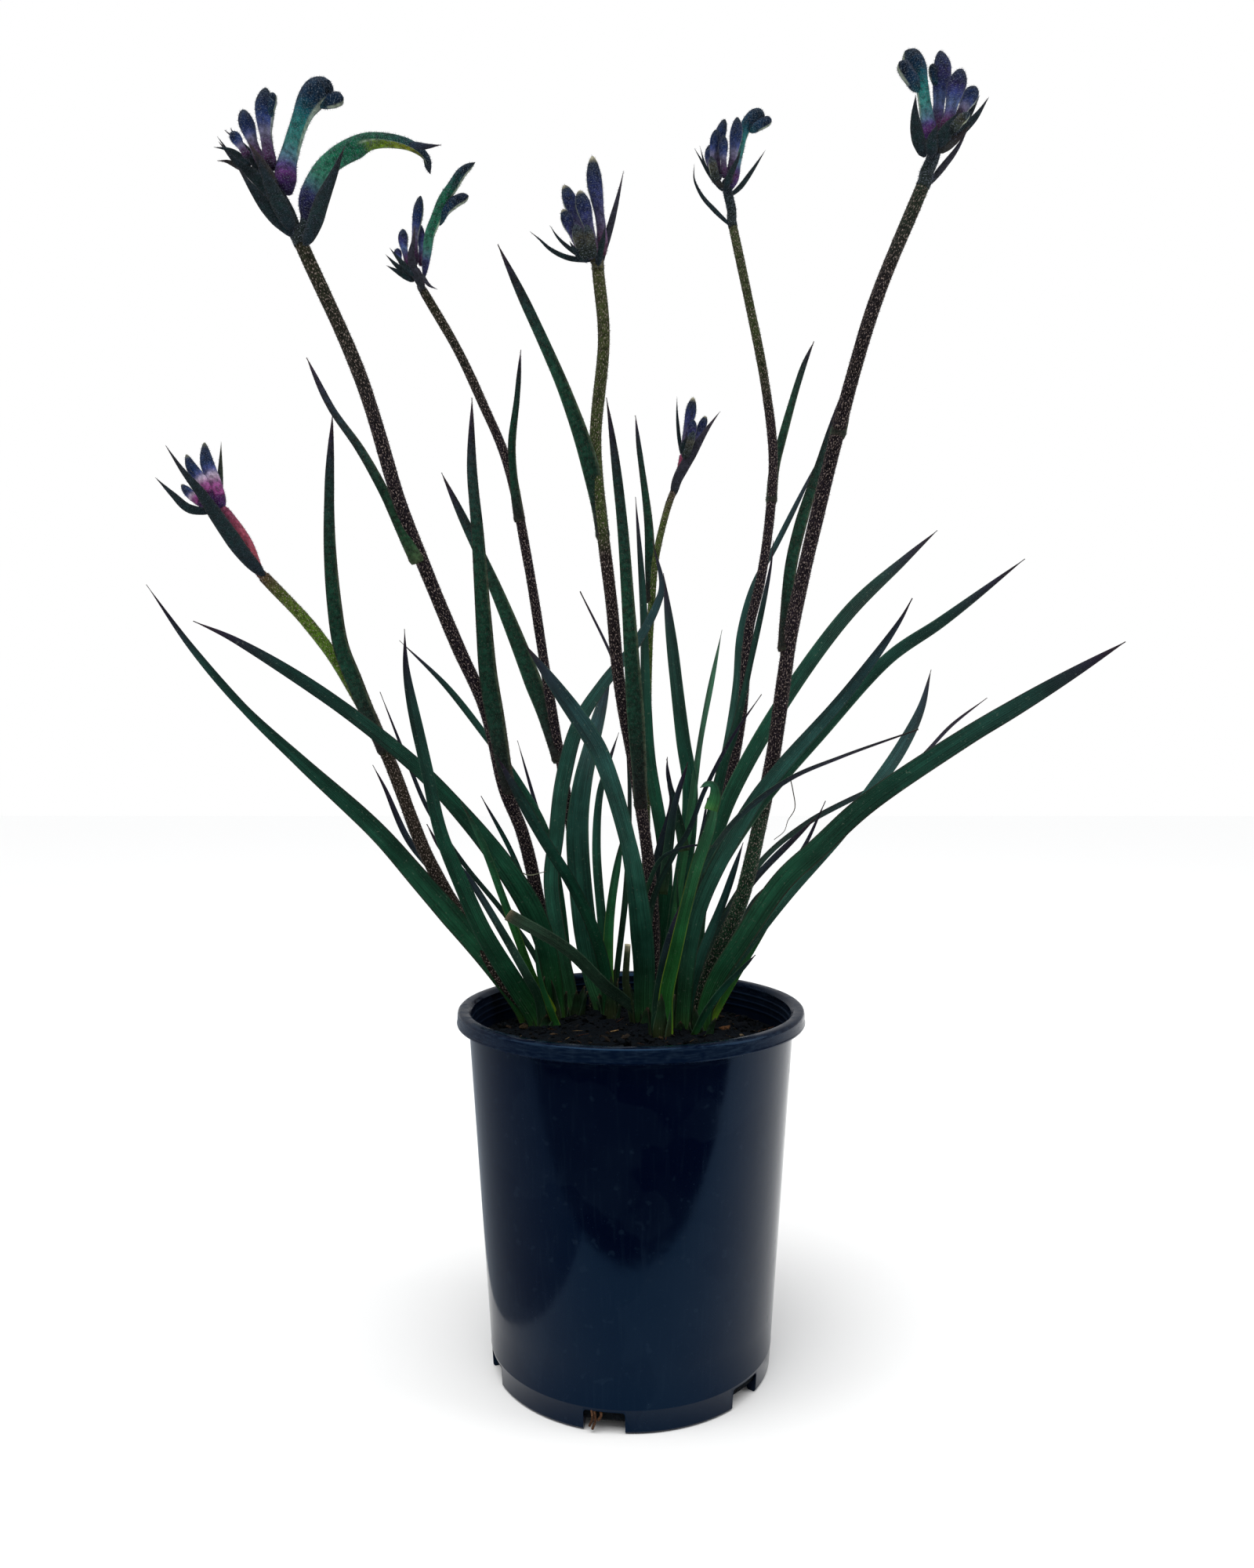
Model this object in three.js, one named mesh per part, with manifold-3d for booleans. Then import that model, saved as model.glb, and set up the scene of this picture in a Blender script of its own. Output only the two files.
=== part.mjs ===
// A kangaroo paw in flower, growing in a black plastic nursery pot.
// Millimetres, +Z up. The origin is the middle of the pot's underside, and -Y is the front.
import * as THREE from 'three';
import { mergeVertices } from 'three/addons/utils/BufferGeometryUtils.js';
import Module from 'manifold-3d';

const wasm = await Module();
wasm.setup();

// Driving dimensions
const POT = {
  height: 204.4,
  rimRadius: 100,
  rimTopWidth: 6.8,
  rimDepth: 8.2,
  neckRadius: 93.5,
  baseRadius: 80.3,
  wall: 1.6,
  floor: 2,
  footHeight: 2.5,
  footWidth: 4.8,
  padRadius: 32,
  ridges: 3,
  ridgePitch: 4,
  ridgeDepth: 0.5,
  sides: 40,
};
const SLOT = { count: 6, width: 22, height: 11.5, reach: 14, firstAngle: -10 };
const MIX = { top: 187, gap: 0.35, dip: 3, heap: [45, 90], sides: 30, rings: [82, 66, 50, 34, 18] };
const CRUMB = { relief: 1.1, short: 4.6, long: 11, fine: 3.1, calm: [80, 90] };
const ROOT = { depth: 15, gap: 0.4, neck: 20, sides: 8 };
const STEM = { sides: 7, stepLength: 42 };
const BLADE = { thickness: 1.5, tipWidth: 0.9, stepLength: 38, wide: 8.5, twist: [0.1, 0.55] };
const SHEATH = { opens: [0.02, 0.3], side: 1.2, face: 0.5, twist: [0.2, 0.6] };
const BRACT = { thickness: 1.1, tipWidth: 0.8, steps: 3 };
const HEAD_GAP = 0.35;

// Finishes
const finish = (color, roughness) => new THREE.MeshStandardMaterial({ color, roughness, metalness: 0 });
const BLACK_PLASTIC = finish(0x141d2a, 0.3);
const MOIST_MIX = finish(0x1c1714, 0.95);
const LEAF_GREEN = finish(0x1f4a38, 0.5);
const STEM_BROWN = finish(0x3b2b2c, 0.85);
const STEM_GREEN = finish(0x4c5f24, 0.8);
const FLOWER_TEAL = finish(0x2c5068, 0.8);
const FLOWER_PURPLE = finish(0x3f3560, 0.8);

const rad = THREE.MathUtils.degToRad;
const mix = THREE.MathUtils.lerp;
const ease = (f, from, to) => THREE.MathUtils.smoothstep(f, from, to);
const point = ([x, y, z]) => new THREE.Vector3(x, y, z);

// A value read along a list of values spread evenly from 0 to 1.
function along(values, f) {
  const at = f * (values.length - 1);
  const i = Math.min(Math.floor(at), values.length - 2);
  return mix(values[i], values[i + 1], at - i);
}

// Solids: a closed geometry becomes a solid, and a solid becomes a geometry again.
function toSolid(geometry) {
  const bare = geometry.clone();
  bare.deleteAttribute('normal');
  bare.deleteAttribute('uv');
  const merged = mergeVertices(bare, 1e-3);
  const faces = [];
  const index = merged.index.array;
  for (let i = 0; i < index.length; i += 3) {
    const [a, b, c] = [index[i], index[i + 1], index[i + 2]];
    if (a !== b && b !== c && c !== a) faces.push(a, b, c);
  }
  return new wasm.Manifold(
    new wasm.Mesh({
      numProp: 3,
      vertProperties: merged.attributes.position.array,
      triVerts: new Uint32Array(faces),
    }),
  );
}

function toGeometry(solid) {
  const mesh = solid.getMesh();
  const geometry = new THREE.BufferGeometry();
  geometry.setAttribute('position', new THREE.BufferAttribute(mesh.vertProperties, 3));
  geometry.setIndex(new THREE.BufferAttribute(mesh.triVerts, 1));
  geometry.computeVertexNormals();
  return geometry;
}

const fuse = (geometries) => geometries.map(toSolid).reduce((whole, solid) => whole.add(solid));

// A closed shape along a curve, with a ring of corners at each fraction of its length in rows.
// section(f) gives the half width and half thickness there, and how far the section has turned
// about the curve, in degrees. Turned by 0, its width lies across the view from the front.
function sweep(curve, { sides, rows, section }) {
  const steps = rows.length - 1;
  const geometry = new THREE.CylinderGeometry(1, 1, 1, sides, steps, false, Math.PI / sides);
  const position = geometry.attributes.position;
  const front = new THREE.Vector3(0, -1, 0);
  for (let i = 0; i < position.count; i += 1) {
    const f = rows[Math.round((position.getY(i) + 0.5) * steps)];
    const tangent = curve.getTangentAt(f);
    const across = new THREE.Vector3().crossVectors(tangent, front).normalize();
    const { width, depth, turn = 0 } = section(f);
    across.applyAxisAngle(tangent, rad(turn));
    const outward = new THREE.Vector3().crossVectors(across, tangent);
    const place = curve
      .getPointAt(f)
      .addScaledVector(across, position.getX(i) * width)
      .addScaledVector(outward, position.getZ(i) * depth);
    position.setXYZ(i, place.x, place.y, place.z);
  }
  return geometry;
}

const curveOf = (points) => new THREE.CatmullRomCurve3(points.map(point), false, 'centripetal');
const evenRows = (steps) => Array.from({ length: steps + 1 }, (_, i) => i / steps);

// Rows about stepLength apart. Where the shoot rises from the mix, the first comes at rootLength.
function rowsFor(curve, stepLength, rootLength = 0) {
  const length = curve.getLength();
  const start = rootLength / length;
  const above = evenRows(Math.max(4, Math.round((length - rootLength) / stepLength)));
  const rows = above.map((f) => mix(start, 1, f));
  return rootLength ? [0, ...rows] : rows;
}

// A leaf's width at a fraction of its length. Four widths are those at each quarter of it, and the
// last quarter draws in to a point. A leaf with a fifth width is cut or broken off at that width.
function leafWidth(widths, f) {
  if (widths.length === 5) return along(widths, f);
  const quarter = 0.25;
  if (f <= 1 - quarter) return along(widths, f / (1 - quarter));
  const beyond = (f - 1 + quarter) / quarter;
  return Math.max(widths[3] * (1 - beyond * beyond), BLADE.tipWidth);
}

// A flat section with four or six corners reaches its full width and thickness by these factors.
const FLAT_REACH = { 4: [Math.SQRT2, Math.SQRT2], 6: [1, 1 / Math.cos(Math.PI / 6)] };

// A sword-shaped leaf blade
function blade(points, widths, turn = 0) {
  const curve = curveOf(points);
  const sides = Math.max(...widths) > BLADE.wide ? 6 : 4;
  const [reachWide, reachDeep] = FLAT_REACH[sides];
  const section = (f) => ({
    width: (reachWide * leafWidth(widths, f)) / 2,
    depth: (reachDeep * mix(BLADE.thickness, BLADE.tipWidth, f)) / 2,
    turn: turn * ease(f, ...BLADE.twist),
  });
  return sweep(curve, { sides, rows: rowsFor(curve, BLADE.stepLength, ROOT.neck), section });
}

// A leaf on a stem: its base is a sheath round the stem, which opens into a narrow blade.
function stemLeaf(points, widths, stemWidth, turn = 0) {
  const curve = curveOf(points);
  const [reachWide, reachDeep] = FLAT_REACH[6];
  const section = (f) => {
    const sheath = 1 - ease(f, ...SHEATH.opens);
    return {
      width: reachWide * mix(leafWidth(widths, f) / 2, stemWidth / 2 + SHEATH.side, sheath),
      depth: reachDeep * mix(BLADE.thickness / 2, stemWidth / 2 + SHEATH.face, sheath),
      turn: turn * ease(f, ...SHEATH.twist),
    };
  };
  return sweep(curve, { sides: 6, rows: rowsFor(curve, BLADE.stepLength), section });
}

// A bract: a short pointed scale at the foot of a flower.
function bract(points, width) {
  const section = (f) => ({
    width: (Math.SQRT2 * Math.max(width * along([0.75, 1, 0.6, 0], f), BRACT.tipWidth)) / 2,
    depth: (Math.SQRT2 * mix(BRACT.thickness, BRACT.tipWidth, f)) / 2,
  });
  return sweep(curveOf(points), { sides: 4, rows: evenRows(BRACT.steps), section });
}

// Flower shapes, each by its girth from the seed case at the foot to the tip.
const GIRTH = {
  bud: [0.45, 0.92, 0.8, 1, 0.3],
  closed: [0.4, 1, 0.78, 0.76, 0.78, 0.92, 1.02, 0.62],
  open: [0.4, 1, 0.86, 0.84, 0.88, 0.84, 0.72, 0.34],
};

function flower(kind, points, width) {
  const girth = GIRTH[kind];
  const section = (f) => {
    const half = (width * along(girth, f)) / 2;
    const flat = kind === 'open' ? mix(1, 0.5, ease(f, 0.5, 0.9)) : 1;
    return { width: half, depth: half * flat };
  };
  return sweep(curveOf(points), { sides: kind === 'bud' ? 5 : 6, rows: evenRows(girth.length - 1), section });
}

// A lobe of an open flower, a blunt tongue.
function lobe(points, width) {
  const section = (f) => ({
    width: (Math.SQRT2 * width * along([0.8, 1, 0.9, 0.45], f)) / 2,
    depth: (Math.SQRT2 * BRACT.thickness) / 2,
  });
  return sweep(curveOf(points), { sides: 4, rows: evenRows(BRACT.steps), section });
}

// The foot of a shoot, upright in its hole in the potting mix
function foot({ at: [x, y], half: [width, depth] }) {
  const curve = curveOf([[x, y, MIX.top - ROOT.depth], [x, y, MIX.top], [x, y, MIX.top + ROOT.neck]]);
  const section = (f) => {
    const narrow = mix(1, 0.7, ease(f, 0.5, 1));
    return { width: width * narrow, depth: depth * narrow };
  };
  return sweep(curve, { sides: ROOT.sides, rows: evenRows(2), section });
}

// The hole that the foot of a shoot stands in
function footHole({ at: [x, y], half: [width, depth] }) {
  const curve = curveOf([[x, y, MIX.top - ROOT.depth - ROOT.gap], [x, y, MIX.top + ROOT.neck]]);
  const flat = Math.cos(Math.PI / ROOT.sides);
  const section = () => ({ width: (width + ROOT.gap) / flat, depth: (depth + ROOT.gap) / flat });
  return sweep(curve, { sides: ROOT.sides, rows: evenRows(1), section });
}

// Pot
const outerRadius = (z) => mix(POT.baseRadius, POT.neckRadius, z / (POT.height - POT.rimDepth));
const innerRadius = (z) => outerRadius(z) - POT.wall;

function potProfile() {
  const { height, rimRadius, rimTopWidth, rimDepth, footHeight, footWidth, padRadius, wall } = POT;
  const floorTop = footHeight + POT.floor;
  const skirtBottom = height - rimDepth;
  const rimInner = rimRadius - rimTopWidth;
  const profile = [
    [0, 0],
    [padRadius, 0],
    [padRadius + footHeight, footHeight],
    [POT.baseRadius - footWidth - 1, footHeight],
    [POT.baseRadius - footWidth, 0],
    [POT.baseRadius - 0.8, 0],
    [outerRadius(1), 1],
    [outerRadius(height - wall), height - wall],
    [rimRadius - wall, height - wall],
    [rimRadius - wall, skirtBottom + 0.4],
    [rimRadius - 0.2, skirtBottom],
    [rimRadius + 0.3, skirtBottom + 0.9],
    [rimRadius, skirtBottom + 2],
    [rimRadius, height - 1.4],
    [rimRadius - 1.2, height],
    [rimInner + 0.6, height],
    [innerRadius(height - 2), height - 2],
  ];
  for (let i = 1; i <= POT.ridges; i += 1) {
    const z = height - 3 - i * POT.ridgePitch;
    profile.push([innerRadius(z) - POT.ridgeDepth, z], [innerRadius(z - 1), z - 1]);
  }
  const fillet = 2;
  profile.push([innerRadius(floorTop + fillet), floorTop + fillet]);
  profile.push([innerRadius(floorTop) - fillet, floorTop], [0, floorTop]);
  return profile.map(([r, z]) => new THREE.Vector2(r, z));
}

function drainSlot(angle) {
  const slot = new THREE.BoxGeometry(SLOT.width, 2 * SLOT.reach, 2 * SLOT.height);
  slot.translate(0, -POT.baseRadius, 0);
  return slot.rotateZ(rad(angle));
}

function pot() {
  const body = new THREE.LatheGeometry(potProfile(), POT.sides).rotateX(Math.PI / 2);
  let solid = toSolid(body);
  for (let i = 0; i < SLOT.count; i += 1) {
    solid = solid.subtract(toSolid(drainSlot(SLOT.firstAngle + (i * 360) / SLOT.count)));
  }
  return solid;
}

// Potting mix, with a crumbly top and a hole for each shoot
function crumb(x, y) {
  const lumps = Math.sin(x / CRUMB.short + y / CRUMB.long) * Math.cos(y / CRUMB.short - x / CRUMB.long);
  const grains = Math.sin((x + 2 * y) / CRUMB.fine);
  return CRUMB.relief * (lumps + 0.4 * grains);
}

function pottingMix(feet) {
  const bottom = POT.footHeight + POT.floor + MIX.gap;
  const edge = (z) => innerRadius(z) * Math.cos(Math.PI / POT.sides) - MIX.gap;
  const rim = MIX.top - MIX.dip;
  const heap = (r) => mix(MIX.top, rim, ease(r, ...MIX.heap));
  const bevel = 2.2;
  const profile = [
    [0, bottom],
    [edge(bottom) - bevel, bottom],
    [edge(bottom + bevel), bottom + bevel],
    [edge(rim) - 1, rim],
  ];
  MIX.rings.forEach((r) => profile.push([r, heap(r)]));
  profile.push([0, heap(0)]);
  const points = profile.map(([r, z]) => new THREE.Vector2(r, z));
  const body = new THREE.LatheGeometry(points, MIX.sides).rotateX(Math.PI / 2);
  const position = body.attributes.position;
  for (let i = 0; i < position.count; i += 1) {
    const [x, y, z] = [position.getX(i), position.getY(i), position.getZ(i)];
    const inside = 1 - ease(Math.hypot(x, y), ...CRUMB.calm);
    if (z > rim - 1) position.setZ(i, z + inside * crumb(x, y));
  }
  return feet.reduce((whole, shoot) => whole.subtract(toSolid(footHole(shoot))), toSolid(body));
}

// Flowering shoots: a scape with its sheathing leaves, and the head that it carries
// route is the stem above the mix, width is [at the base, at the top], and
// leaves are [route, widths, turn].
const SHOOTS = [
  {
    name: '1',
    at: [-46, 62],
    route: [[-57, 56, 249], [-67, 42, 300], [-77, 32, 329], [-86, 14, 376], [-99, -4, 410],
      [-113, -20, 448], [-125, -39, 485], [-141, -60, 546], [-168, -70, 609]],
    width: [8.4, 7],
    color: STEM_BROWN,
    leaves: [
      [[[-118, -26, 456], [-126, -35, 475], [-136, -40, 496], [-148, -34, 516], [-166, -24, 541],
        [-183, -12, 573]], [7, 5.6, 5, 4], 20],
      [[[-75, 33, 327], [-77, 21, 347], [-79, 11, 365], [-82, -4, 394], [-83, -16, 424], [-86, -19, 474],
        [-90, -12, 511], [-91, -4, 553]], [13.4, 11.4, 8.6, 6.2], 15],
    ],
    head: {
      color: FLOWER_TEAL,
      axis: [[-10, 0, 13], [-14, 0, 26], [-20, 0, 37]],
      girth: [7, 4],
      fork: [[-1, 0, 2], [2, -1, 10], [1, -2, 22]],
      flowers: [
        ['closed', [[-12, 0, 22], [-5, 1, 43], [-3, 1, 59], [2, 2, 75], [9, 2, 82], [16, 3, 80],
          [20, 3, 74]], 10.5],
        ['open', [[1, -2, 18], [3, -3, 29], [10, -4, 37], [20, -5, 44], [32, -6, 48], [43, -6, 49],
          [56, -7, 47], [62, -8, 43]], 10.5],
        ['bud', [[-14, 0, 27], [-18, -3, 47], [-18, -5, 62], [-16, -6, 77]], 8.1],
        ['bud', [[-16, 0, 28], [-25, 4, 48], [-30, 6, 63], [-32, 7, 72]], 7],
        ['bud', [[-18, 0, 32], [-27, -6, 44], [-33, -10, 54]], 6],
        ['bud', [[-18, 0, 34], [-29, 6, 44], [-37, 11, 57]], 5.6],
      ],
      lobes: [
        [[[48, -8, 48], [60, -12, 46], [73, -15, 43]], 4],
        [[[54, -7, 46], [63, -6, 41], [66, -4, 33]], 6.5],
      ],
      bracts: [
        [[[-10, 0, 15], [-24, 6, 37], [-37, 12, 55], [-43, 15, 65]], 7.5],
        [[[-12, 0, 20], [-28, 0, 38], [-39, 0, 47], [-45, 0, 53]], 7.5],
        [[[-7, 0, 9], [-19, -4, 18], [-25, -8, 29], [-28, -12, 36]], 7.5],
        [[[1, -2, 2], [4, -7, 10], [11, -12, 20], [19, -16, 31], [26, -19, 41]], 8.5],
        [[[-5, -1, 6], [-12, -7, 22], [-17, -12, 32], [-20, -16, 44]], 9.5],
      ],
    },
  },
  {
    name: '2',
    at: [-24, 77],
    route: [[-29, 77, 240], [-39, 76, 300], [-42, 75, 323], [-54, 72, 396], [-66, 68, 473], [-79, 65, 536],
      [-94, 63, 572], [-109, 61, 604], [-130, 60, 640]],
    width: [6.8, 5.6],
    color: STEM_BROWN,
    leaves: [
      [[[-71, 67, 498], [-74, 62, 522], [-75, 58, 544], [-71, 52, 572],
        [-68, 46, 599]], [7, 5, 5, 3.5], 20],
      [[[-47, 72, 345], [-52, 76, 361], [-60, 82, 386], [-86, 92, 451], [-100, 94, 482],
        [-126, 97, 537]], [10, 12, 9.7, 7], 15],
    ],
    head: {
      color: FLOWER_TEAL,
      axis: [[-1, 0, 11], [-3, 0, 20], [-6, 0, 27]],
      girth: [5.6, 3.4],
      flowers: [
        ['open', [[-1, 0, 8], [2, 1, 26], [4, 2, 38], [10, 3, 58], [17, 3, 70], [29, 4, 81]], 8.6],
        ['bud', [[-3, 0, 18], [-6, -3, 39], [-5, -5, 50], [-1, -6, 58]], 7],
        ['bud', [[-3, 0, 20], [-3, 5, 35], [-4, 8, 47]], 5.5],
        ['bud', [[-5, 0, 23], [-12, 3, 34], [-14, 5, 42]], 5.8],
        ['bud', [[-5, 0, 23], [-11, -5, 25], [-16, -8, 27]], 5],
      ],
      lobes: [[[[9, 2, 46], [17, -1, 55], [28, -4, 58]], 5]],
      bracts: [
        [[[-2, 0, 12], [-14, -5, 18], [-23, -9, 20]], 5.5],
        [[[-2, 0, 12], [-15, 3, 16], [-25, 6, 18]], 5.5],
        [[[-3, 0, 16], [-15, 8, 28], [-24, 13, 37]], 5],
        [[[0, -1, 3], [-3, -6, 13], [-6, -9, 24], [-5, -11, 33]], 8],
      ],
    },
  },
  {
    name: '3',
    at: [13, 45],
    route: [[14, 45, 232], [12, 41, 271], [4, 29, 330], [-7, 10, 392], [-11, 1, 434], [-18, -8, 493],
      [-20, -14, 527], [-15, -24, 580], [-18, -30, 614]],
    width: [7.6, 6.6],
    color: STEM_GREEN,
    leaves: [
      [[[-16, -4, 473], [-19, -8, 494], [-25, -18, 518], [-36, -32, 547], [-47, -44, 570],
        [-69, -62, 613]], [11.4, 10, 7.8, 6.4], 20],
      [[[6, 33, 317], [5, 22, 338], [3, 10, 368], [1, 1, 396], [-2, -6, 440], [-5, -10, 480],
        [-10, -11, 524], [-14, -8, 552]], [11.4, 10.4, 7.9, 6], 15],
    ],
    head: {
      color: FLOWER_PURPLE,
      axis: [[-3, 0, 8], [-6, 0, 14]],
      girth: [6.6, 4],
      flowers: [
        ['bud', [[-3, 0, 6], [2, 0, 19], [2, 1, 32], [0, 2, 49], [-4, 2, 63]], 8.7],
        ['bud', [[-5, 0, 10], [-10, 4, 27], [-16, 7, 39], [-20, 9, 50]], 7.4],
        ['bud', [[-4, 0, 10], [-5, -5, 24], [-8, -7, 35], [-12, -9, 46]], 7.6],
        ['bud', [[-5, 0, 11], [-12, -2, 20], [-18, -3, 30], [-20, -4, 36]], 6.5],
        ['bud', [[-5, 0, 10], [-9, -8, 16], [-12, -13, 24]], 6],
      ],
      lobes: [],
      bracts: [
        [[[-1, 0, 4], [-12, -4, 7], [-27, -8, 9], [-38, -12, 17]], 5.6],
        [[[-2, 0, 6], [-14, 6, 13], [-21, 10, 20], [-27, 13, 29]], 5],
        [[[0, 0, 2], [5, -3, 16], [9, -5, 32], [14, -6, 51]], 7.4],
        [[[-1, -1, 4], [-1, -9, 12], [0, -15, 22]], 6.5],
        [[[-3, 0, 7], [-9, 8, 19], [-10, 14, 33]], 6.5],
      ],
    },
  },
  {
    name: '4',
    at: [31, 75],
    route: [[38, 75, 240], [61, 74, 320], [71, 72, 372], [76, 72, 430], [83, 72, 460], [89, 72, 501],
      [91, 71, 542], [85, 71, 591], [72, 70, 653], [65, 70, 685]],
    width: [6.8, 5.6],
    color: STEM_BROWN,
    leaves: [
      [[[90, 72, 511], [92, 74, 532], [98, 79, 555], [113, 92, 604], [121, 96, 623]], [7, 6, 5.5, 4.5], 20],
    ],
    head: {
      color: FLOWER_PURPLE,
      axis: [[-3, 0, 20], [-6, 0, 31], [-8, 0, 37]],
      girth: [5.6, 4],
      flowers: [
        ['closed', [[-5, 0, 25], [2, 1, 45], [5, 2, 58], [9, 2, 68], [15, 2, 73], [21, 3, 72],
          [26, 3, 69]], 8],
        ['bud', [[-5, 0, 29], [-2, -4, 45], [0, -6, 57], [2, -8, 67]], 7.6],
        ['bud', [[-6, 0, 33], [-9, 3, 51], [-8, 5, 61], [-5, 6, 70]], 7],
        ['bud', [[-7, 0, 33], [-7, -8, 45], [-7, -12, 56]], 6.2],
        ['bud', [[-7, 0, 34], [-13, -3, 41], [-15, -6, 50]], 6],
        ['bud', [[-7, 0, 35], [-12, 8, 51], [-12, 12, 63]], 6.2],
      ],
      lobes: [],
      bracts: [
        [[[-1, 0, 4], [-14, 3, 15], [-23, 6, 30], [-25, 8, 45]], 5],
        [[[-4, 0, 24], [-17, -5, 35], [-23, -9, 45]], 7],
        [[[-4, 0, 24], [-15, 5, 41], [-21, 9, 55]], 5.5],
        [[[-2, 0, 19], [8, -2, 28], [14, -4, 37], [20, -5, 46]], 6.4],
        [[[-4, -1, 23], [-1, -9, 33], [3, -15, 44]], 7],
      ],
    },
  },
  {
    name: '5',
    at: [40, 23],
    route: [[46, 22, 215], [64, 16, 258], [70, 11, 282], [82, 0, 347], [88, -8, 397], [91, -13, 421],
      [105, -28, 491], [120, -43, 556], [130, -52, 591], [151, -60, 643]],
    width: [9.4, 7],
    color: STEM_BROWN,
    leaves: [
      [[[112, -35, 522], [116, -36, 537], [120, -38, 554], [125, -41, 566]], [10, 7, 5, 3], 0],
      [[[88, -10, 408], [89, -9, 426], [91, -6, 454], [97, -2, 480], [114, 6, 532],
        [122, 9, 558]], [8.2, 7, 7.4, 5], 15],
    ],
    head: {
      color: FLOWER_TEAL,
      axis: [[4, 0, 16], [6, 0, 24], [10, 0, 33]],
      girth: [7, 4],
      flowers: [
        ['closed', [[3, 0, 15], [2, -1, 30], [0, -1, 43], [-2, -2, 55], [-5, -3, 65], [-9, -3, 70],
          [-13, -3, 68]], 8.8],
        ['bud', [[6, 0, 23], [8, 3, 41], [9, 4, 56], [9, 5, 74]], 8.2],
        ['bud', [[8, 0, 27], [12, -3, 41], [16, -4, 51], [19, -5, 61]], 8],
        ['bud', [[9, 0, 29], [18, 6, 43], [28, 9, 55]], 6.8],
        ['bud', [[9, 0, 30], [17, -6, 37], [24, -10, 44]], 6.4],
      ],
      lobes: [[[[-1, -2, 50], [-9, -5, 58], [-13, -6, 60]], 6]],
      bracts: [
        [[[5, 0, 22], [19, -2, 34], [27, -3, 40], [33, -4, 45]], 7.4],
        [[[8, 0, 27], [21, 7, 40], [32, 12, 53]], 6],
        [[[5, 0, 22], [13, -8, 28], [21, -14, 33]], 6],
        [[[1, 0, 3], [10, 4, 13], [20, 8, 25], [27, 10, 36]], 5],
        [[[3, -2, 11], [0, -8, 23], [-3, -11, 31], [-6, -13, 40]], 7],
      ],
    },
  },
  {
    name: '6',
    at: [6, 79],
    route: [[9, 80, 250], [10, 86, 305], [11, 95, 367], [12, 106, 417], [15, 112, 466], [17, 115, 485],
      [25, 122, 519], [30, 130, 534]],
    width: [5.4, 4.6],
    color: STEM_GREEN,
    leaves: [
      [[[13, 111, 453], [13, 114, 474], [12, 118, 507], [5, 125, 565],
        [3, 127, 584]], [10, 7, 5.8, 4.3], 20],
    ],
    head: {
      color: FLOWER_PURPLE,
      axis: [[5, 0, 15], [8, 0, 22], [10, 0, 27]],
      girth: [4.6, 3.4],
      flowers: [
        ['bud', [[7, 0, 20], [8, -3, 39], [10, -4, 50], [12, -5, 61]], 7.6],
        ['bud', [[8, 0, 21], [12, -7, 34], [15, -10, 46]], 6.2],
        ['bud', [[8, 0, 21], [17, 2, 40], [22, 4, 52]], 6],
        ['bud', [[8, 0, 22], [11, 8, 35], [14, 12, 44]], 5.8],
      ],
      lobes: [],
      bracts: [
        [[[1, 0, 2], [10, -4, 17], [21, -7, 36], [30, -9, 50]], 7],
        [[[5, 0, 14], [2, 2, 35], [1, 4, 52], [2, 6, 65]], 5],
      ],
    },
  },
  {
    name: '7',
    at: [-61, 34],
    half: [8, 4.4],
    route: [[-78, 35, 209], [-97, 35, 237], [-126, 37, 288], [-150, 38, 349], [-176, 33, 401],
      [-195, 31, 428], [-222, 30, 457]],
    width: [9, 7],
    color: STEM_GREEN,
    leaves: [
      [[[-151, 38, 351], [-156, 33, 365], [-161, 29, 378], [-167, 27, 394], [-174, 24, 414],
        [-177, 20, 440], [-180, 22, 475], [-181, 26, 513], [-180, 30, 555]], [11, 10.2, 8.2, 5.8], 15],
    ],
    basal: [
      [[[-61, 33, 180], [-64, 33, 190], [-71, 33, 202], [-90, 31, 228], [-129, 24, 276], [-152, 18, 304],
        [-193, 6, 345], [-223, -3, 376], [-250, -10, 410], [-273, -16, 445]], [12, 14, 10.5, 5], 0],
      [[[-62, 35, 180], [-68, 37, 200], [-99, 40, 244], [-120, 46, 273], [-140, 52, 296], [-156, 57, 329],
        [-164, 60, 343]], [5, 5, 5, 4], 20],
    ],
    head: {
      color: FLOWER_PURPLE,
      axis: [[-14, 0, 27], [-24, 0, 40], [-29, 0, 45]],
      girth: [5.6, 4.6],
      flowers: [
        ['bud', [[-26, 0, 41], [-29, 2, 55], [-33, 3, 69], [-36, 4, 83]], 8.2],
        ['bud', [[-28, 0, 43], [-35, -3, 57], [-41, -5, 66], [-46, -6, 74]], 7.6],
        ['bud', [[-28, 0, 43], [-44, 4, 50], [-52, 7, 57]], 6.2],
      ],
      lobes: [],
      bracts: [
        [[[-1, -1, 4], [-18, -6, 24], [-31, -9, 41], [-44, -12, 59], [-53, -15, 74]], 9],
        [[[-27, 0, 41], [-41, -1, 39], [-52, -2, 45], [-64, -4, 59]], 8],
        [[[-26, 0, 42], [-27, 6, 63], [-29, 10, 85]], 5],
      ],
    },
  },
];

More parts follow.
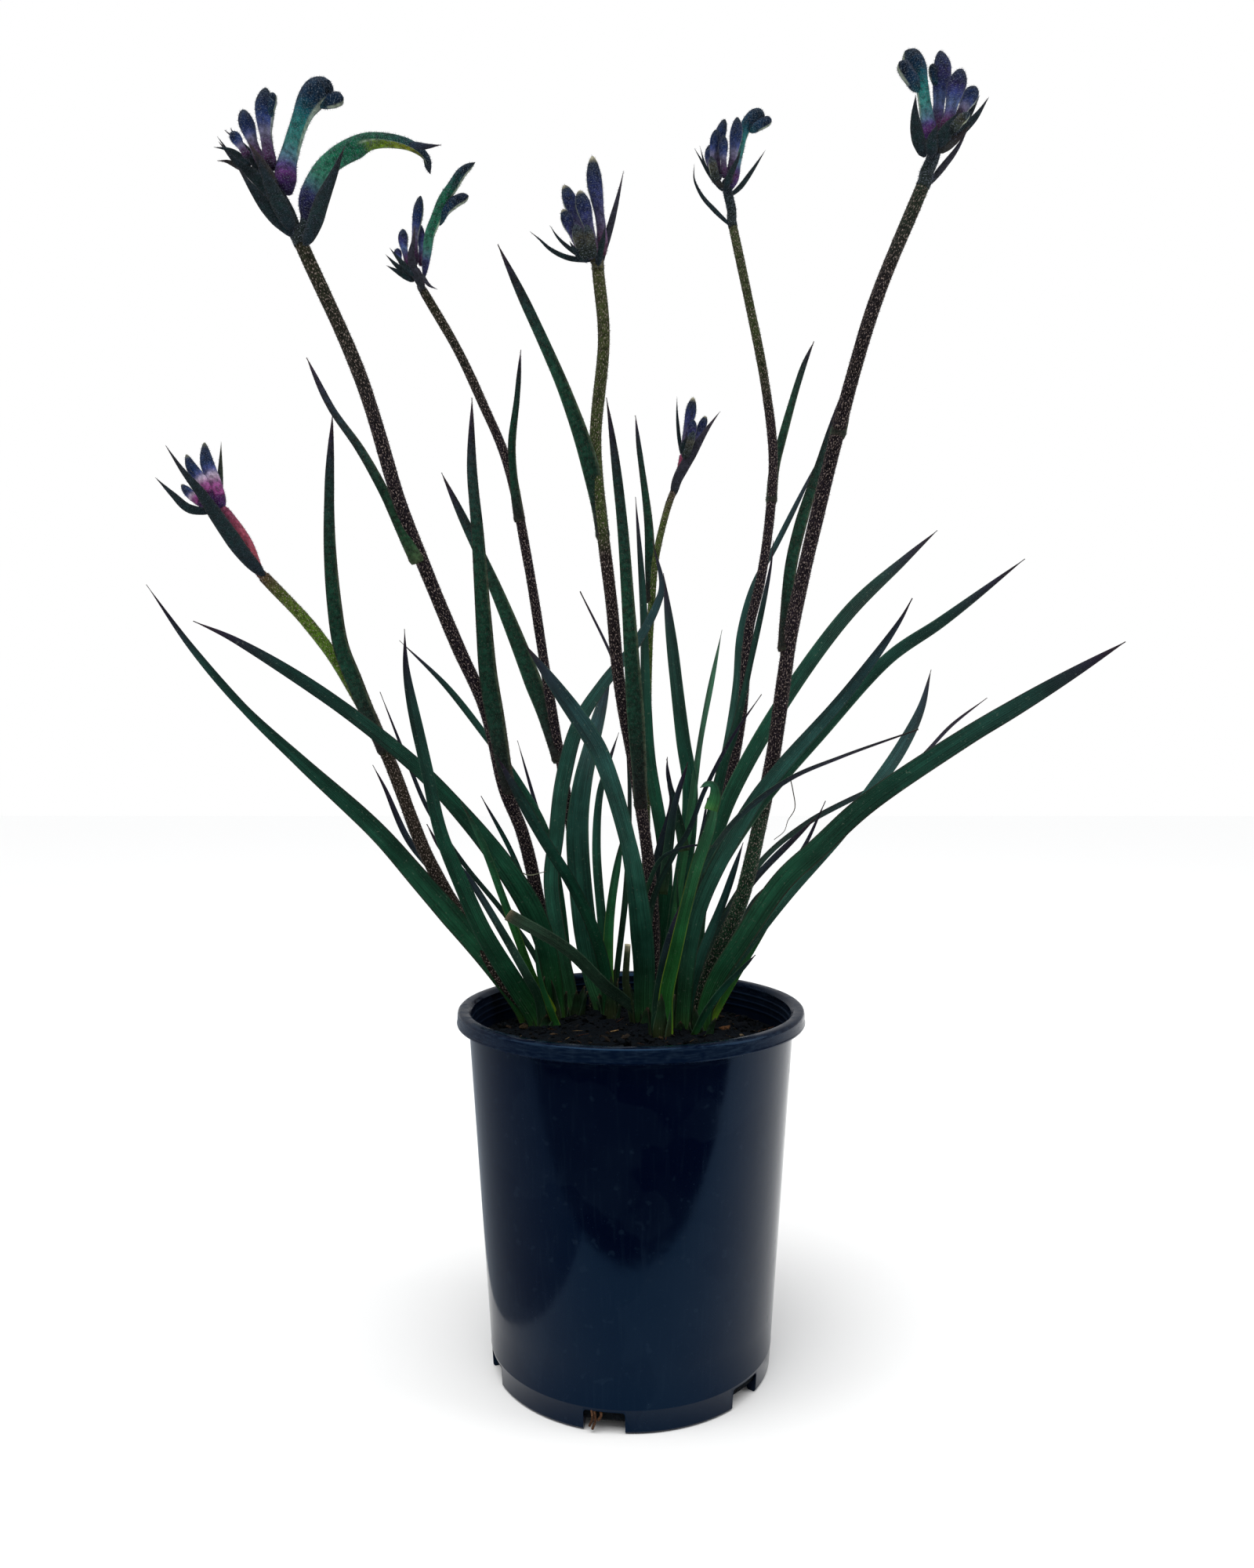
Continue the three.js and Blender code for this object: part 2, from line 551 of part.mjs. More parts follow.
// Leaf fans: flat blades that sheathe one another at one foot, as [route, widths, turn]
const FANS = [
  {
    name: 'front',
    at: [17, -6],
    half: [9, 4],
    blades: [
      [[[20, -7, 180], [20, -8, 196], [20, -9, 210], [25, -16, 237], [35, -36, 285], [44, -55, 320],
        [42, -62, 331]], [8.5, 8.3, 7, 6.8], 0],
      [[[15, -5, 180], [16, -5, 206], [18, -7, 224], [21, -10, 240], [31, -16, 270]], [8, 8, 6, 5], 10],
    ],
  },
  {
    name: 'right_front',
    at: [42, 1],
    half: [10, 4],
    blades: [
      [[[43, 1, 180], [43, 2, 198], [49, 1, 217], [61, -1, 237], [87, -8, 277], [107, -14, 297],
        [131, -22, 321], [181, -38, 358], [207, -46, 375], [258, -62, 408]], [8.5, 12.5, 12, 10], 0],
      [[[40, 2, 180], [42, 3, 196], [53, 5, 216], [76, 7, 248], [92, 8, 268], [125, 14, 304],
        [143, 22, 326], [164, 34, 352], [180, 46, 378], [189, 56, 403]], [6, 8, 8, 8], 0],
    ],
  },
  {
    name: 'right',
    at: [29, 11],
    half: [10, 4],
    blades: [
      [[[28, 12, 180], [29, 11, 200], [31, 10, 225], [33, 8, 241], [41, 5, 267], [71, -6, 319],
        [107, -18, 363], [143, -28, 403], [170, -34, 422], [213, -40, 455]], [9, 10, 10, 7], 0],
      [[[30, 10, 180], [31, 9, 200], [35, 2, 242], [42, -6, 269], [68, -26, 322], [82, -35, 342],
        [115, -56, 383], [137, -74, 417], [142, -80, 428]], [9, 10, 9, 6.5], 0],
      [[[27, 11, 180], [28, 10, 200], [31, 2, 245], [38, -8, 278], [55, -36, 311], [81, -68, 336],
        [105, -88, 348], [137, -112, 361]], [6, 6.6, 4.2, 2.9], 30],
      [[[33, 12, 180], [34, 13, 200], [41, 15, 227], [55, 17, 262], [67, 18, 297]], [6, 6.5, 6, 4.5], 0],
    ],
  },
  {
    name: 'right_back',
    at: [47, 38],
    half: [10, 4],
    blades: [
      [[[43, 38, 180], [40, 39, 204], [40, 40, 230], [45, 44, 273], [55, 47, 307], [66, 50, 332],
        [97, 60, 384], [141, 74, 442], [180, 88, 478], [204, 98, 499]], [9, 10, 9.8, 9], 0],
      [[[45, 40, 180], [45, 42, 200], [45, 44, 219], [61, 50, 252], [84, 56, 284], [112, 62, 306],
        [181, 80, 341], [214, 94, 370], [240, 104, 388]], [5, 5, 4.5, 3.5], 35],
      [[[48, 37, 180], [46, 37, 202], [45, 36, 225], [60, 35, 252], [77, 34, 275],
        [113, 34, 311]], [5, 6, 6, 5], 20],
      [[[52, 38, 180], [56, 37, 210], [75, 36, 259], [94, 37, 276], [106, 38, 292],
        [120, 40, 321]], [3, 3, 3, 2.5], 0],
    ],
  },
  {
    name: 'left_front',
    at: [-52, 21],
    half: [11, 4],
    blades: [
      [[[-54, 20, 180], [-56, 19, 190], [-67, 16, 209], [-86, 8, 243], [-98, -6, 276], [-106, -24, 305],
        [-109, -48, 339], [-113, -82, 390], [-112, -92, 411]], [13, 11, 8, 6.5], 0],
      [[[-53, 20, 180], [-55, 17, 203], [-61, 12, 217], [-78, 15, 246], [-98, 26, 274], [-115, 22, 294],
        [-122, 18, 308]], [6, 5.5, 4.5, 4], 20],
    ],
  },
  {
    name: 'left',
    at: [-44, 38],
    half: [7, 4],
    blades: [
      [[[-45, 37, 180], [-46, 36, 194], [-52, 31, 233], [-61, 24, 258], [-77, 13, 286], [-97, 0, 314],
        [-120, -14, 341], [-163, -39, 379], [-207, -61, 409], [-226, -68, 418]], [10, 14.5, 9.5, 7.5], 0],
      [[[-44, 37, 180], [-50, 34, 196], [-58, 30, 210], [-68, 14, 242], [-75, -4, 269], [-83, -28, 301],
        [-92, -44, 324]], [5, 5, 5, 4], 25],
      [[[-45, 38, 180], [-49, 38, 206], [-54, 39, 230], [-61, 40, 254], [-73, 41, 287],
        [-93, 43, 324]], [6, 5, 4, 3], 20],
      [[[-46, 39, 180], [-50, 40, 202], [-61, 42, 227], [-81, 46, 253], [-105, 48, 282], [-127, 50, 315],
        [-139, 52, 342], [-158, 55, 389]], [4, 3.5, 3, 2.5], 0],
    ],
  },
  {
    name: 'centre_left',
    at: [-35, 48],
    half: [8, 4],
    blades: [
      [[[-36, 47, 180], [-40, 47, 206], [-44, 47, 226], [-50, 49, 270], [-47, 50, 298], [-43, 52, 332],
        [-33, 54, 369], [-17, 60, 395], [4, 68, 422], [17, 74, 447], [20, 77, 459],
        [14, 80, 488]], [11.5, 9.5, 10, 6.5], 0],
      [[[-36, 49, 180], [-38, 50, 196], [-45, 56, 242], [-51, 64, 281], [-65, 78, 327],
        [-75, 88, 359]], [6, 5.5, 4, 2.5], 20],
      [[[-37, 48, 180], [-38, 49, 198], [-45, 56, 262], [-54, 60, 300], [-73, 64, 334], [-95, 66, 364],
        [-119, 68, 394], [-149, 71, 423]], [4.5, 4.5, 5, 4.5], 20],
    ],
  },
  {
    name: 'centre',
    at: [-13, 38],
    half: [8, 4],
    blades: [
      [[[-13, 39, 180], [-14, 40, 204], [-18, 44, 244], [-22, 57, 291], [-20, 67, 325], [-15, 72, 343],
        [-8, 78, 364]], [6.5, 6.2, 6.2, 5], 25],
      [[[-14, 37, 180], [-14, 36, 198], [-17, 32, 222], [-25, 26, 249], [-36, 14, 274], [-51, -6, 302],
        [-73, -42, 349]], [7.6, 7.6, 7, 6.3], 0],
      [[[-12, 38, 180], [-14, 38, 200], [-14, 38, 235], [-12, 38, 259], [-5, 40, 301]], [7, 7, 6, 5], 0],
    ],
  },
  {
    name: 'back_left',
    at: [-15, 61],
    half: [9, 4],
    blades: [
      [[[-16, 62, 180], [-18, 62, 190], [-23, 63, 205], [-29, 63, 236], [-34, 64, 288], [-34, 65, 308],
        [-31, 68, 332], [-27, 76, 351], [-14, 112, 406]], [13, 15, 14.5, 10], 0],
      [[[-13, 62, 180], [-8, 65, 220], [-3, 70, 265], [-1, 86, 315], [-2, 100, 356], [-5, 116, 394],
        [-14, 126, 419], [-36, 140, 465]], [4, 4, 3.5, 3.4], 35],
    ],
  },
  {
    name: 'centre_front',
    at: [9, 25],
    half: [11, 4],
    blades: [
      [[[9, 25, 180], [8, 24, 193], [8, 19, 214], [7, 8, 236], [0, -26, 293], [-15, -62, 347],
        [-23, -75, 362], [-36, -92, 381], [-51, -112, 402]], [12, 13.5, 9, 9.5], 0],
      [[[5, 25, 180], [3, 24, 194], [-5, 22, 202], [-14, 16, 210], [-37, 0, 236],
        [-69, -24, 260]], [5, 7.5, 7.5, 7, 7], 0],
      [[[15, 26, 180], [20, 26, 204], [27, 24, 230], [28, 20, 247], [27, 8, 282]], [3, 2.5, 2, 1.5], 20],
      [[[3, 25, 180], [1, 24, 192], [-3, 22, 210], [-2, 19, 236]], [5, 5, 4.5, 4, 3.5], 0],
      [[[13, 26, 180], [12, 27, 210], [12, 26, 256], [25, 18, 289], [34, 14, 304], [43, 8, 328],
        [59, 0, 360], [75, -5, 384]], [4, 4, 3.5, 2.5], 0],
    ],
  },
  {
    name: 'back',
    at: [18, 62],
    half: [10, 4],
    blades: [
      [[[16, 62, 180], [18, 63, 226], [22, 66, 265], [21, 68, 290], [12, 76, 346], [10, 82, 381],
        [8, 96, 452], [3, 110, 524]], [9, 9, 8, 5], 0],
      [[[21, 61, 180], [24, 61, 208], [32, 64, 266], [37, 68, 301], [38, 74, 331], [34, 80, 359],
        [27, 96, 425], [22, 112, 473]], [10, 11, 10, 8.2], 0],
      [[[18, 62, 180], [18, 61, 206], [16, 60, 231], [14, 56, 267], [18, 52, 289], [26, 46, 320],
        [24, 44, 331], [22, 42, 347]], [6, 6, 7.5, 5], 0],
      [[[24, 61, 180], [24, 58, 204], [28, 57, 247], [37, 64, 306], [42, 76, 338], [47, 96, 364],
        [65, 150, 439]], [5.5, 5.5, 5.5, 4.5], 30],
    ],
  },
  {
    name: 'back_right',
    at: [42, 57],
    half: [9, 4],
    blades: [
      [[[38, 57, 180], [36, 57, 204], [35, 56, 227], [41, 55, 262], [59, 52, 348], [64, 52, 361],
        [76, 49, 415], [87, 47, 469], [88, 46, 482]], [7, 7.6, 7.6, 4.6], 25],
      [[[45, 57, 180], [45, 58, 188], [46, 66, 199], [46, 74, 212], [44, 80, 236], [50, 84, 290],
        [60, 85, 336], [70, 92, 396], [73, 96, 430], [82, 100, 463], [97, 106, 490],
        [131, 122, 557]], [8, 9, 8, 5.4], 35],
    ],
  },
];

// The scape's foot is its own round section, unless its basal leaves make it wider.
const footOf = ({ at, half, width }) => ({ at, half: half ?? [width[0] / 2, width[0] / 2] });

function stemCurve({ at: [x, y], route }) {
  const upright = [-ROOT.depth, -4, 3].map((step) => [x, y, MIX.top + step]);
  return curveOf([...upright, ...route]);
}

function scape(shoot) {
  const curve = stemCurve(shoot);
  const [low, high] = shoot.width;
  const section = (f) => ({ width: mix(low, high, f) / 2, depth: mix(low, high, f) / 2 });
  const rows = rowsFor(curve, STEM.stepLength, ROOT.depth + 2);
  const pieces = [sweep(curve, { sides: STEM.sides, rows, section })];
  if (shoot.half) pieces.push(foot(shoot));
  const girth = mix(low, high, 0.5);
  shoot.leaves.forEach(([route, widths, turn]) => pieces.push(stemLeaf(route, widths, girth, turn)));
  (shoot.basal ?? []).forEach(([route, widths, turn]) => pieces.push(blade(route, widths, turn)));
  return fuse(pieces);
}

// A head stands on the end of its scape. Its routes are measured from that end.
function head(shoot) {
  const { axis, girth, fork, flowers, lobes, bracts } = shoot.head;
  const curve = stemCurve(shoot);
  const end = curve.getPointAt(1);
  const onward = curve.getTangentAt(1);
  const place = (route) => route.map(([x, y, z]) => [end.x + x, end.y + y, end.z + z]);
  const start = [HEAD_GAP, 4].map((step) => end.clone().addScaledVector(onward, step).toArray());
  const stalk = (route, [from, to], sides = 6) => {
    const section = (f) => ({ width: mix(from, to, f) / 2, depth: mix(from, to, f) / 2 });
    return sweep(curveOf(route), { sides, rows: evenRows(4), section });
  };
  const pieces = [stalk([...start, ...place(axis)], girth, STEM.sides)];
  if (fork) pieces.push(stalk([start[1], ...place(fork.slice(1))], girth));
  flowers.forEach(([kind, route, width]) => pieces.push(flower(kind, place(route), width)));
  lobes.forEach(([route, width]) => pieces.push(lobe(place(route), width)));
  bracts.forEach(([route, width]) => pieces.push(bract(place(route), width)));
  return fuse(pieces);
}

function fan(tuft) {
  const blades = tuft.blades.map(([route, widths, turn]) => blade(route, widths, turn));
  return fuse([foot(tuft), ...blades]);
}

// The whole plant
const plant = new THREE.Group();

function add(name, solid, material) {
  const mesh = new THREE.Mesh(toGeometry(solid), material);
  mesh.name = name;
  plant.add(mesh);
}

add('pot', pot(), BLACK_PLASTIC);
add('potting_mix', pottingMix([...SHOOTS.map(footOf), ...FANS]), MOIST_MIX);
SHOOTS.forEach((shoot) => {
  add(`flower_stem_${shoot.name}`, scape(shoot), shoot.color);
  add(`flower_head_${shoot.name}`, head(shoot), shoot.head.color);
});
FANS.forEach((tuft) => add(`leaf_fan_${tuft.name}`, fan(tuft), LEAF_GREEN));

export default plant;
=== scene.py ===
"""A kangaroo paw in flower in a black nursery pot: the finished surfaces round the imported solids.

Routes and sizes are in millimetres. +Z is up, -Y is the front, and the origin is the middle of the
pot's underside.
"""

from __future__ import annotations

import logging
import math
from abc import ABC, abstractmethod
from collections.abc import Callable
from dataclasses import dataclass
from enum import Enum

import bmesh
import bpy
import numpy as np
from mathutils import Euler, Matrix, Vector, noise


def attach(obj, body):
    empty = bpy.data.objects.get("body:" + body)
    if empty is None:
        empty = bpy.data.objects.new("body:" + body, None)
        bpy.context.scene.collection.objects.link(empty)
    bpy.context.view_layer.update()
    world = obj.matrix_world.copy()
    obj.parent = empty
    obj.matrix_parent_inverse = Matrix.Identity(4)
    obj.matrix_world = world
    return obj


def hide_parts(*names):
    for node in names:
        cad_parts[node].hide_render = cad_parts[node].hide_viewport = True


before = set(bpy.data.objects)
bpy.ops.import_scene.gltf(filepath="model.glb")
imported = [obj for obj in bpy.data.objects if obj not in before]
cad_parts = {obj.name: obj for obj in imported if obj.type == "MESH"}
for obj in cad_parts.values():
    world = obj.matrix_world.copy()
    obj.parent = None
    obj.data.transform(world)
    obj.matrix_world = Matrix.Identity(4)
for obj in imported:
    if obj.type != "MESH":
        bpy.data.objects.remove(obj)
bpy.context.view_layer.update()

LOG = logging.getLogger("kangaroo_paw")
BODY = "root"
MM = 0.001
# A square metre, in square millimetres
SQUARE_METRE = 1e6
# Points closer than this are one point, in metres
SAME_SPOT = 1e-6
# How much of a surface the side of its map covers, in millimetres
MAP_SIDE = 100
FRONT = np.array([0.0, -1.0, 0.0])

Point = tuple[float, float, float]
Pair = tuple[float, float]
Route = tuple[Point, ...]
Profile = tuple[Pair, ...]
Stops = tuple[tuple[float, str], ...]
Array = np.ndarray
# From fractions of a length and angles round it: places in the section, or colours
Section = Callable[[Array, Array], tuple[Array, Array]]
Tint = Callable[[Array, Array], Array]
Mesh = bmesh.types.BMesh
Object = bpy.types.Object
Material = bpy.types.Material
Tree = bpy.types.NodeTree
Socket = bpy.types.NodeSocket
Layer = bmesh.types.BMLayerItem


# Colours and curves


def linear(code: str) -> tuple[float, float, float, float]:
    """Turns an sRGB hex colour into the linear values that Blender works in.

    Args:
        code: The colour as "#rrggbb".

    Returns:
        The linear colour, with an alpha of 1.
    """
    parts = [int(code[i : i + 2], 16) / 255 for i in (1, 3, 5)]
    red, green, blue = (p / 12.92 if p <= 0.04045 else ((p + 0.055) / 1.055) ** 2.4 for p in parts)
    return red, green, blue, 1.0


def rgb(code: str) -> Array:
    """Turns an sRGB hex colour into three linear values."""
    return np.array(linear(code)[:3])


def toward(colors: Array, goal: Array, share: Array) -> Array:
    """Draws colours towards others, by a share for each row."""
    return colors * (1 - share[:, None]) + goal * share[:, None]


def blend_stops(stops: Stops, f: Array) -> Array:
    """Reads colour stops at fractions of a length.

    Args:
        stops: Fractions from 0 to 1, each with its sRGB hex colour.
        f: The fractions to read.

    Returns:
        One linear colour a row.
    """
    at, codes = zip(*stops)
    colors = np.array([rgb(code) for code in codes])
    return np.stack([np.interp(f, at, colors[:, k]) for k in range(3)], 1)


def ease(f: Array, start: float, end: float) -> Array:
    """Rises smoothly from 0 at start to 1 at end."""
    t = np.clip((f - start) / (end - start), 0, 1)
    return t * t * (3 - 2 * t)


def taper(ends: Pair, f: Array | float) -> Array | float:
    """Runs evenly from one value to another."""
    return ends[0] + (ends[1] - ends[0]) * f


def unit(rows: Array) -> Array:
    """Gives directions a length of 1."""
    return rows / np.linalg.norm(rows, axis=-1, keepdims=True)


def rings(length: float, spacing: float, fewest: int, crowding: float) -> Array:
    """Gives where the rings of a sweep lie, closer together towards its end.

    Args:
        length: How long the sweep is.
        spacing: How far apart its rings are on average.
        fewest: The fewest steps between them.
        crowding: How much they crowd at the end, from 1 for not at all.

    Returns:
        Fractions of the length.
    """
    steps = max(fewest, round(length / spacing))
    return 1 - (1 - np.linspace(0, 1, steps + 1)) ** crowding


class Curve:
    """A smooth curve through a route's points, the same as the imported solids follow."""

    SPAN_STEPS = 24

    def __init__(self, route: Route, origin: Array | Point = (0, 0, 0)) -> None:
        """Samples the curve.

        Args:
            route: The points that it passes through, in millimetres.
            origin: Where the route is measured from.
        """
        given = np.array(route, float) + origin
        ends = [2 * given[0] - given[1], 2 * given[-1] - given[-2]]
        points = np.vstack([ends[0], given, ends[1]])
        spans = [self._span(points[i : i + 4]) for i in range(len(given) - 1)]
        self.points = np.vstack([*spans, given[-1]])
        steps = np.linalg.norm(np.diff(self.points, axis=0), axis=1)
        self.lengths = np.concatenate([[0.0], np.cumsum(steps)])
        self.length = float(self.lengths[-1])
        self.slopes = np.gradient(self.points, self.lengths, axis=0)

    def _span(self, p: Array) -> Array:
        """Samples the stretch between the middle two of four points, its end left out."""
        gaps = np.maximum(np.linalg.norm(np.diff(p, axis=0), axis=1) ** 0.5, 1e-4)
        d0, d1, d2 = gaps
        leave = (p[1] - p[0]) / d0 - (p[2] - p[0]) / (d0 + d1) + (p[2] - p[1]) / d1
        reach = (p[2] - p[1]) / d1 - (p[3] - p[1]) / (d1 + d2) + (p[3] - p[2]) / d2
        t = np.linspace(0, 1, self.SPAN_STEPS, endpoint=False)[:, None]
        square, cube = t * t, t * t * t
        start = (2 * cube - 3 * square + 1) * p[1] + (3 * square - 2 * cube) * p[2]
        return start + (cube - 2 * square + t) * leave * d1 + (cube - square) * reach * d1

    def frames(self, f: Array, turn: Array) -> tuple[Array, Array, Array]:
        """Gives the places along the curve and the two directions of a section there.

        Args:
            f: Fractions of the length.
            turn: How far the section has turned about the curve, in degrees.

        Returns:
            The places, the directions across the curve and those out from its face.
        """
        at = np.clip(f, 0, 1) * self.length
        place = np.stack([np.interp(at, self.lengths, self.points[:, k]) for k in range(3)], 1)
        along = np.stack([np.interp(at, self.lengths, self.slopes[:, k]) for k in range(3)], 1)
        along = unit(along)
        across = unit(np.cross(along, FRONT))
        angle = np.radians(turn)[:, None]
        across = across * np.cos(angle) + np.cross(along, across) * np.sin(angle)
        return place, across, np.cross(across, along)


# Meshes


class Skin:
    """One piece's mesh while it is made, with a colour at each point and a map of its surface."""

    def __init__(self) -> None:
        """Starts an empty mesh."""
        self.bm = bmesh.new()
        self.tint = self.bm.verts.layers.float_color.new("tint")
        self.uv = self.bm.loops.layers.uv.new("surface")

    def sweep(
        self, curve: Curve, rows: Array, around: int, section: Section, tint: Tint,
        turn: Array | None = None, flat: bool = False, material: int = 0,
    ) -> None:
        """Sweeps a closed section along a curve, and closes both ends.

        Args:
            curve: The curve that it follows.
            rows: The fraction of the length at each ring.
            around: How many points a ring has.
            section: Gives a point's place in its ring from the fraction and the angle.
            tint: Gives a point's colour from the same two.
            turn: How far each ring has turned about the curve, in degrees.
            flat: Maps both faces of a blade alike, from edge to edge, instead of round it.
            material: The slot of its material.
        """
        steps = len(rows) - 1
        made = bmesh.ops.create_grid(self.bm, x_segments=around, y_segments=steps, size=0.5)
        verts = made["verts"]
        spots = np.array([v.co[:2] for v in verts]) + 0.5
        column = np.rint(spots[:, 0] * around)
        row = np.rint(spots[:, 1] * steps).astype(int)
        f, angle = rows[row], column * 2 * math.pi / around
        turned = np.zeros(len(f)) if turn is None else turn[row]
        place, across, outward = curve.frames(f, turned)
        x, y = section(f, angle)
        spot = (place + across * x[:, None] + outward * y[:, None]) * MM
        colors = tint(f, angle)
        girth = float(np.max(np.hypot(x, y))) * 2 * math.pi
        side = 0.5 + 0.5 * np.cos(angle) if flat else column / around * girth / MAP_SIDE
        up = f * curve.length / MAP_SIDE
        where = {}
        for i, vert in enumerate(verts):
            vert.co = spot[i]
            vert[self.tint] = (*colors[i], 1.0)
            where[vert] = (side[i], up[i])
        faces = {face for vert in verts for face in vert.link_faces}
        for face in faces:
            face.smooth = True
            face.material_index = material
            for loop in face.loops:
                loop[self.uv].uv = where[loop.vert]
        ends = [v for v, c, r in zip(verts, column, row) if c in (0, around) or r in (0, steps)]
        bmesh.ops.remove_doubles(self.bm, verts=ends, dist=2 * SAME_SPOT)
        faces = [face for face in faces if face.is_valid]
        rims = {edge for face in faces for edge in face.edges if edge.is_boundary}
        if rims:
            caps = bmesh.ops.holes_fill(self.bm, edges=list(rims), sides=0)["faces"]
            for cap in caps:
                cap.material_index = material
            faces += caps
        bmesh.ops.recalc_face_normals(self.bm, faces=faces)


def link(item: Object) -> Object:
    """Puts an object in the scene."""
    bpy.context.scene.collection.objects.link(item)
    return item


def add_object(name: str, bm: Mesh, *materials: Material) -> Object:
    """Turns a mesh that was being made into an object at the origin.

    Args:
        name: The object's name.
        bm: The mesh, which is used up.
        materials: Its materials, in the order of their slots.

    Returns:
        The object.
    """
    mesh = bpy.data.meshes.new(name)
    bm.to_mesh(mesh)
    bm.free()
    for material in materials:
        mesh.materials.append(material)
    return link(bpy.data.objects.new(name, mesh))


def lathe(bm: Mesh, outline: list[Pair], steps: int) -> None:
    """Adds an outline spun once round the Z axis.

    Args:
        bm: The mesh.
        outline: Radii and heights, in millimetres.
        steps: How many faces go round.
    """
    verts = [bm.verts.new((r * MM, 0, z * MM)) for r, z in outline]
    edges = [bm.edges.new(pair) for pair in zip(verts, verts[1:])]
    bmesh.ops.spin(bm, geom=verts + edges, cent=(0, 0, 0), axis=(0, 0, 1), angle=2 * math.pi,
                   steps=steps, use_merge=True, use_duplicate=False)
    bmesh.ops.remove_doubles(bm, verts=bm.verts, dist=SAME_SPOT)


def set_in_place(piece: Object, slot: str, *nodes: str) -> None:
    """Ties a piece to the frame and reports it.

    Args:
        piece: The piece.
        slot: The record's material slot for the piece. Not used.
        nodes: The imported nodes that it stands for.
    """
    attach(piece, BODY)
    if nodes:
        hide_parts(*nodes)
    piece.data.calc_loop_triangles()
    LOG.info("%s: %d triangles", piece.name, len(piece.data.loop_triangles))


# Materials


def add_node(tree: Tree, kind: str, links: dict | None = None, **settings) -> bpy.types.Node:
    """Adds a node with its settings and its inputs.

    Args:
        tree: The material's node tree.
        kind: The node's type name, without "ShaderNode".
        links: For each input, by name or number, a value or the output that feeds it.
        settings: The node's own settings.

    Returns:
        The node.
    """
    node = tree.nodes.new("ShaderNode" + kind)
    for key, value in settings.items():
        setattr(node, key, value)
    for key, value in (links or {}).items():
        socket = node.inputs[key]
        if isinstance(value, bpy.types.NodeSocket):
            tree.links.new(value, socket)
        else:
            socket.default_value = value
    return node


def speckle(tree: Tree, place: Socket, scale: float, detail: float = 3.0) -> Socket:
    """Gives a cloudy pattern from 0 to 1.

    Args:
        tree: The material's node tree.
        place: The coordinates that it lies on.
        scale: How many of its grains lie side by side in one unit.
        detail: How many finer layers it has.

    Returns:
        The pattern.
    """
    node = add_node(tree, "TexNoise", {"Vector": place, "Scale": scale, "Detail": detail})
    return node.outputs["Fac"]


def stretched(tree: Tree, place: Socket, scale: Point) -> Socket:
    """Gives coordinates scaled by their own number on each axis."""
    return add_node(tree, "Mapping", {"Vector": place, "Scale": scale}).outputs[0]


def remap(
    tree: Tree, value: Socket, low: float, high: float, start: float = 0.3, stop: float = 0.7
) -> Socket:
    """Turns values from start to stop into values from low to high, and holds them there."""
    links = {"Value": value, "From Min": start, "From Max": stop, "To Min": low, "To Max": high}
    return add_node(tree, "MapRange", links).outputs[0]


def combine(
    tree: Tree, operation: str, one: Socket, two: Socket | float = 0.0, clamp: bool = False
) -> Socket:
    """Gives the result of a sum on two values."""
    node = add_node(tree, "Math", {0: one, 1: two}, operation=operation, use_clamp=clamp)
    return node.outputs[0]


def shaded(tree: Tree, color: Socket | tuple, value: Socket) -> Socket:
    """Gives a colour made darker or lighter by a value."""
    return add_node(tree, "HueSaturation", {"Value": value, "Color": color}).outputs[0]


def mixed(tree: Tree, share: Socket, one: Socket | tuple, two: Socket | tuple) -> Socket:
    """Gives a mix of two colours, by the share of the second."""
    links = {"Factor": share, "A": one, "B": two}
    return add_node(tree, "Mix", links, data_type="RGBA").outputs["Result"]


def object_place(tree: Tree) -> Socket:
    """Gives the place on the object, in metres."""
    return add_node(tree, "TexCoord").outputs["Object"]


def surface_place(tree: Tree) -> Socket:
    """Gives the place on the piece's own map of its surface."""
    return add_node(tree, "UVMap", uv_map="surface").outputs["UV"]


def own_tint(tree: Tree) -> Socket:
    """Gives the colour that a piece's points hold."""
    return add_node(tree, "Attribute", attribute_name="tint").outputs["Color"]


def cover(
    tree: Tree, height: Socket | None = None, depth: float = 0.0, strength: float = 0.0, **settings
) -> None:
    """Ends a material in a surface shader with a fine relief.

    Args:
        tree: The material's node tree.
        height: The relief, if it has one.
        depth: How deep the relief is, in metres.
        strength: How much of the relief shows.
        settings: The shader's inputs, with their words joined by underscores.
    """
    links = {name.replace("_", " "): value for name, value in settings.items()}
    if height is not None:
        bump = add_node(tree, "Bump", {"Height": height, "Distance": depth, "Strength": strength})
        links["Normal"] = bump.outputs[0]
    shader = add_node(tree, "BsdfPrincipled", links)
    add_node(tree, "OutputMaterial", {"Surface": shader.outputs[0]})


@dataclass(frozen=True)
class Finish(ABC):
    """A real surface that is told apart by its name."""

    name: str

    def material(self) -> Material:
        """Builds the material."""
        material = bpy.data.materials.new(self.name)
        material.use_nodes = True
        material.node_tree.nodes.clear()
        self.lay(material.node_tree)
        return material

    @abstractmethod
    def lay(self, tree: Tree) -> None:
        """Lays the surface in an empty node tree."""


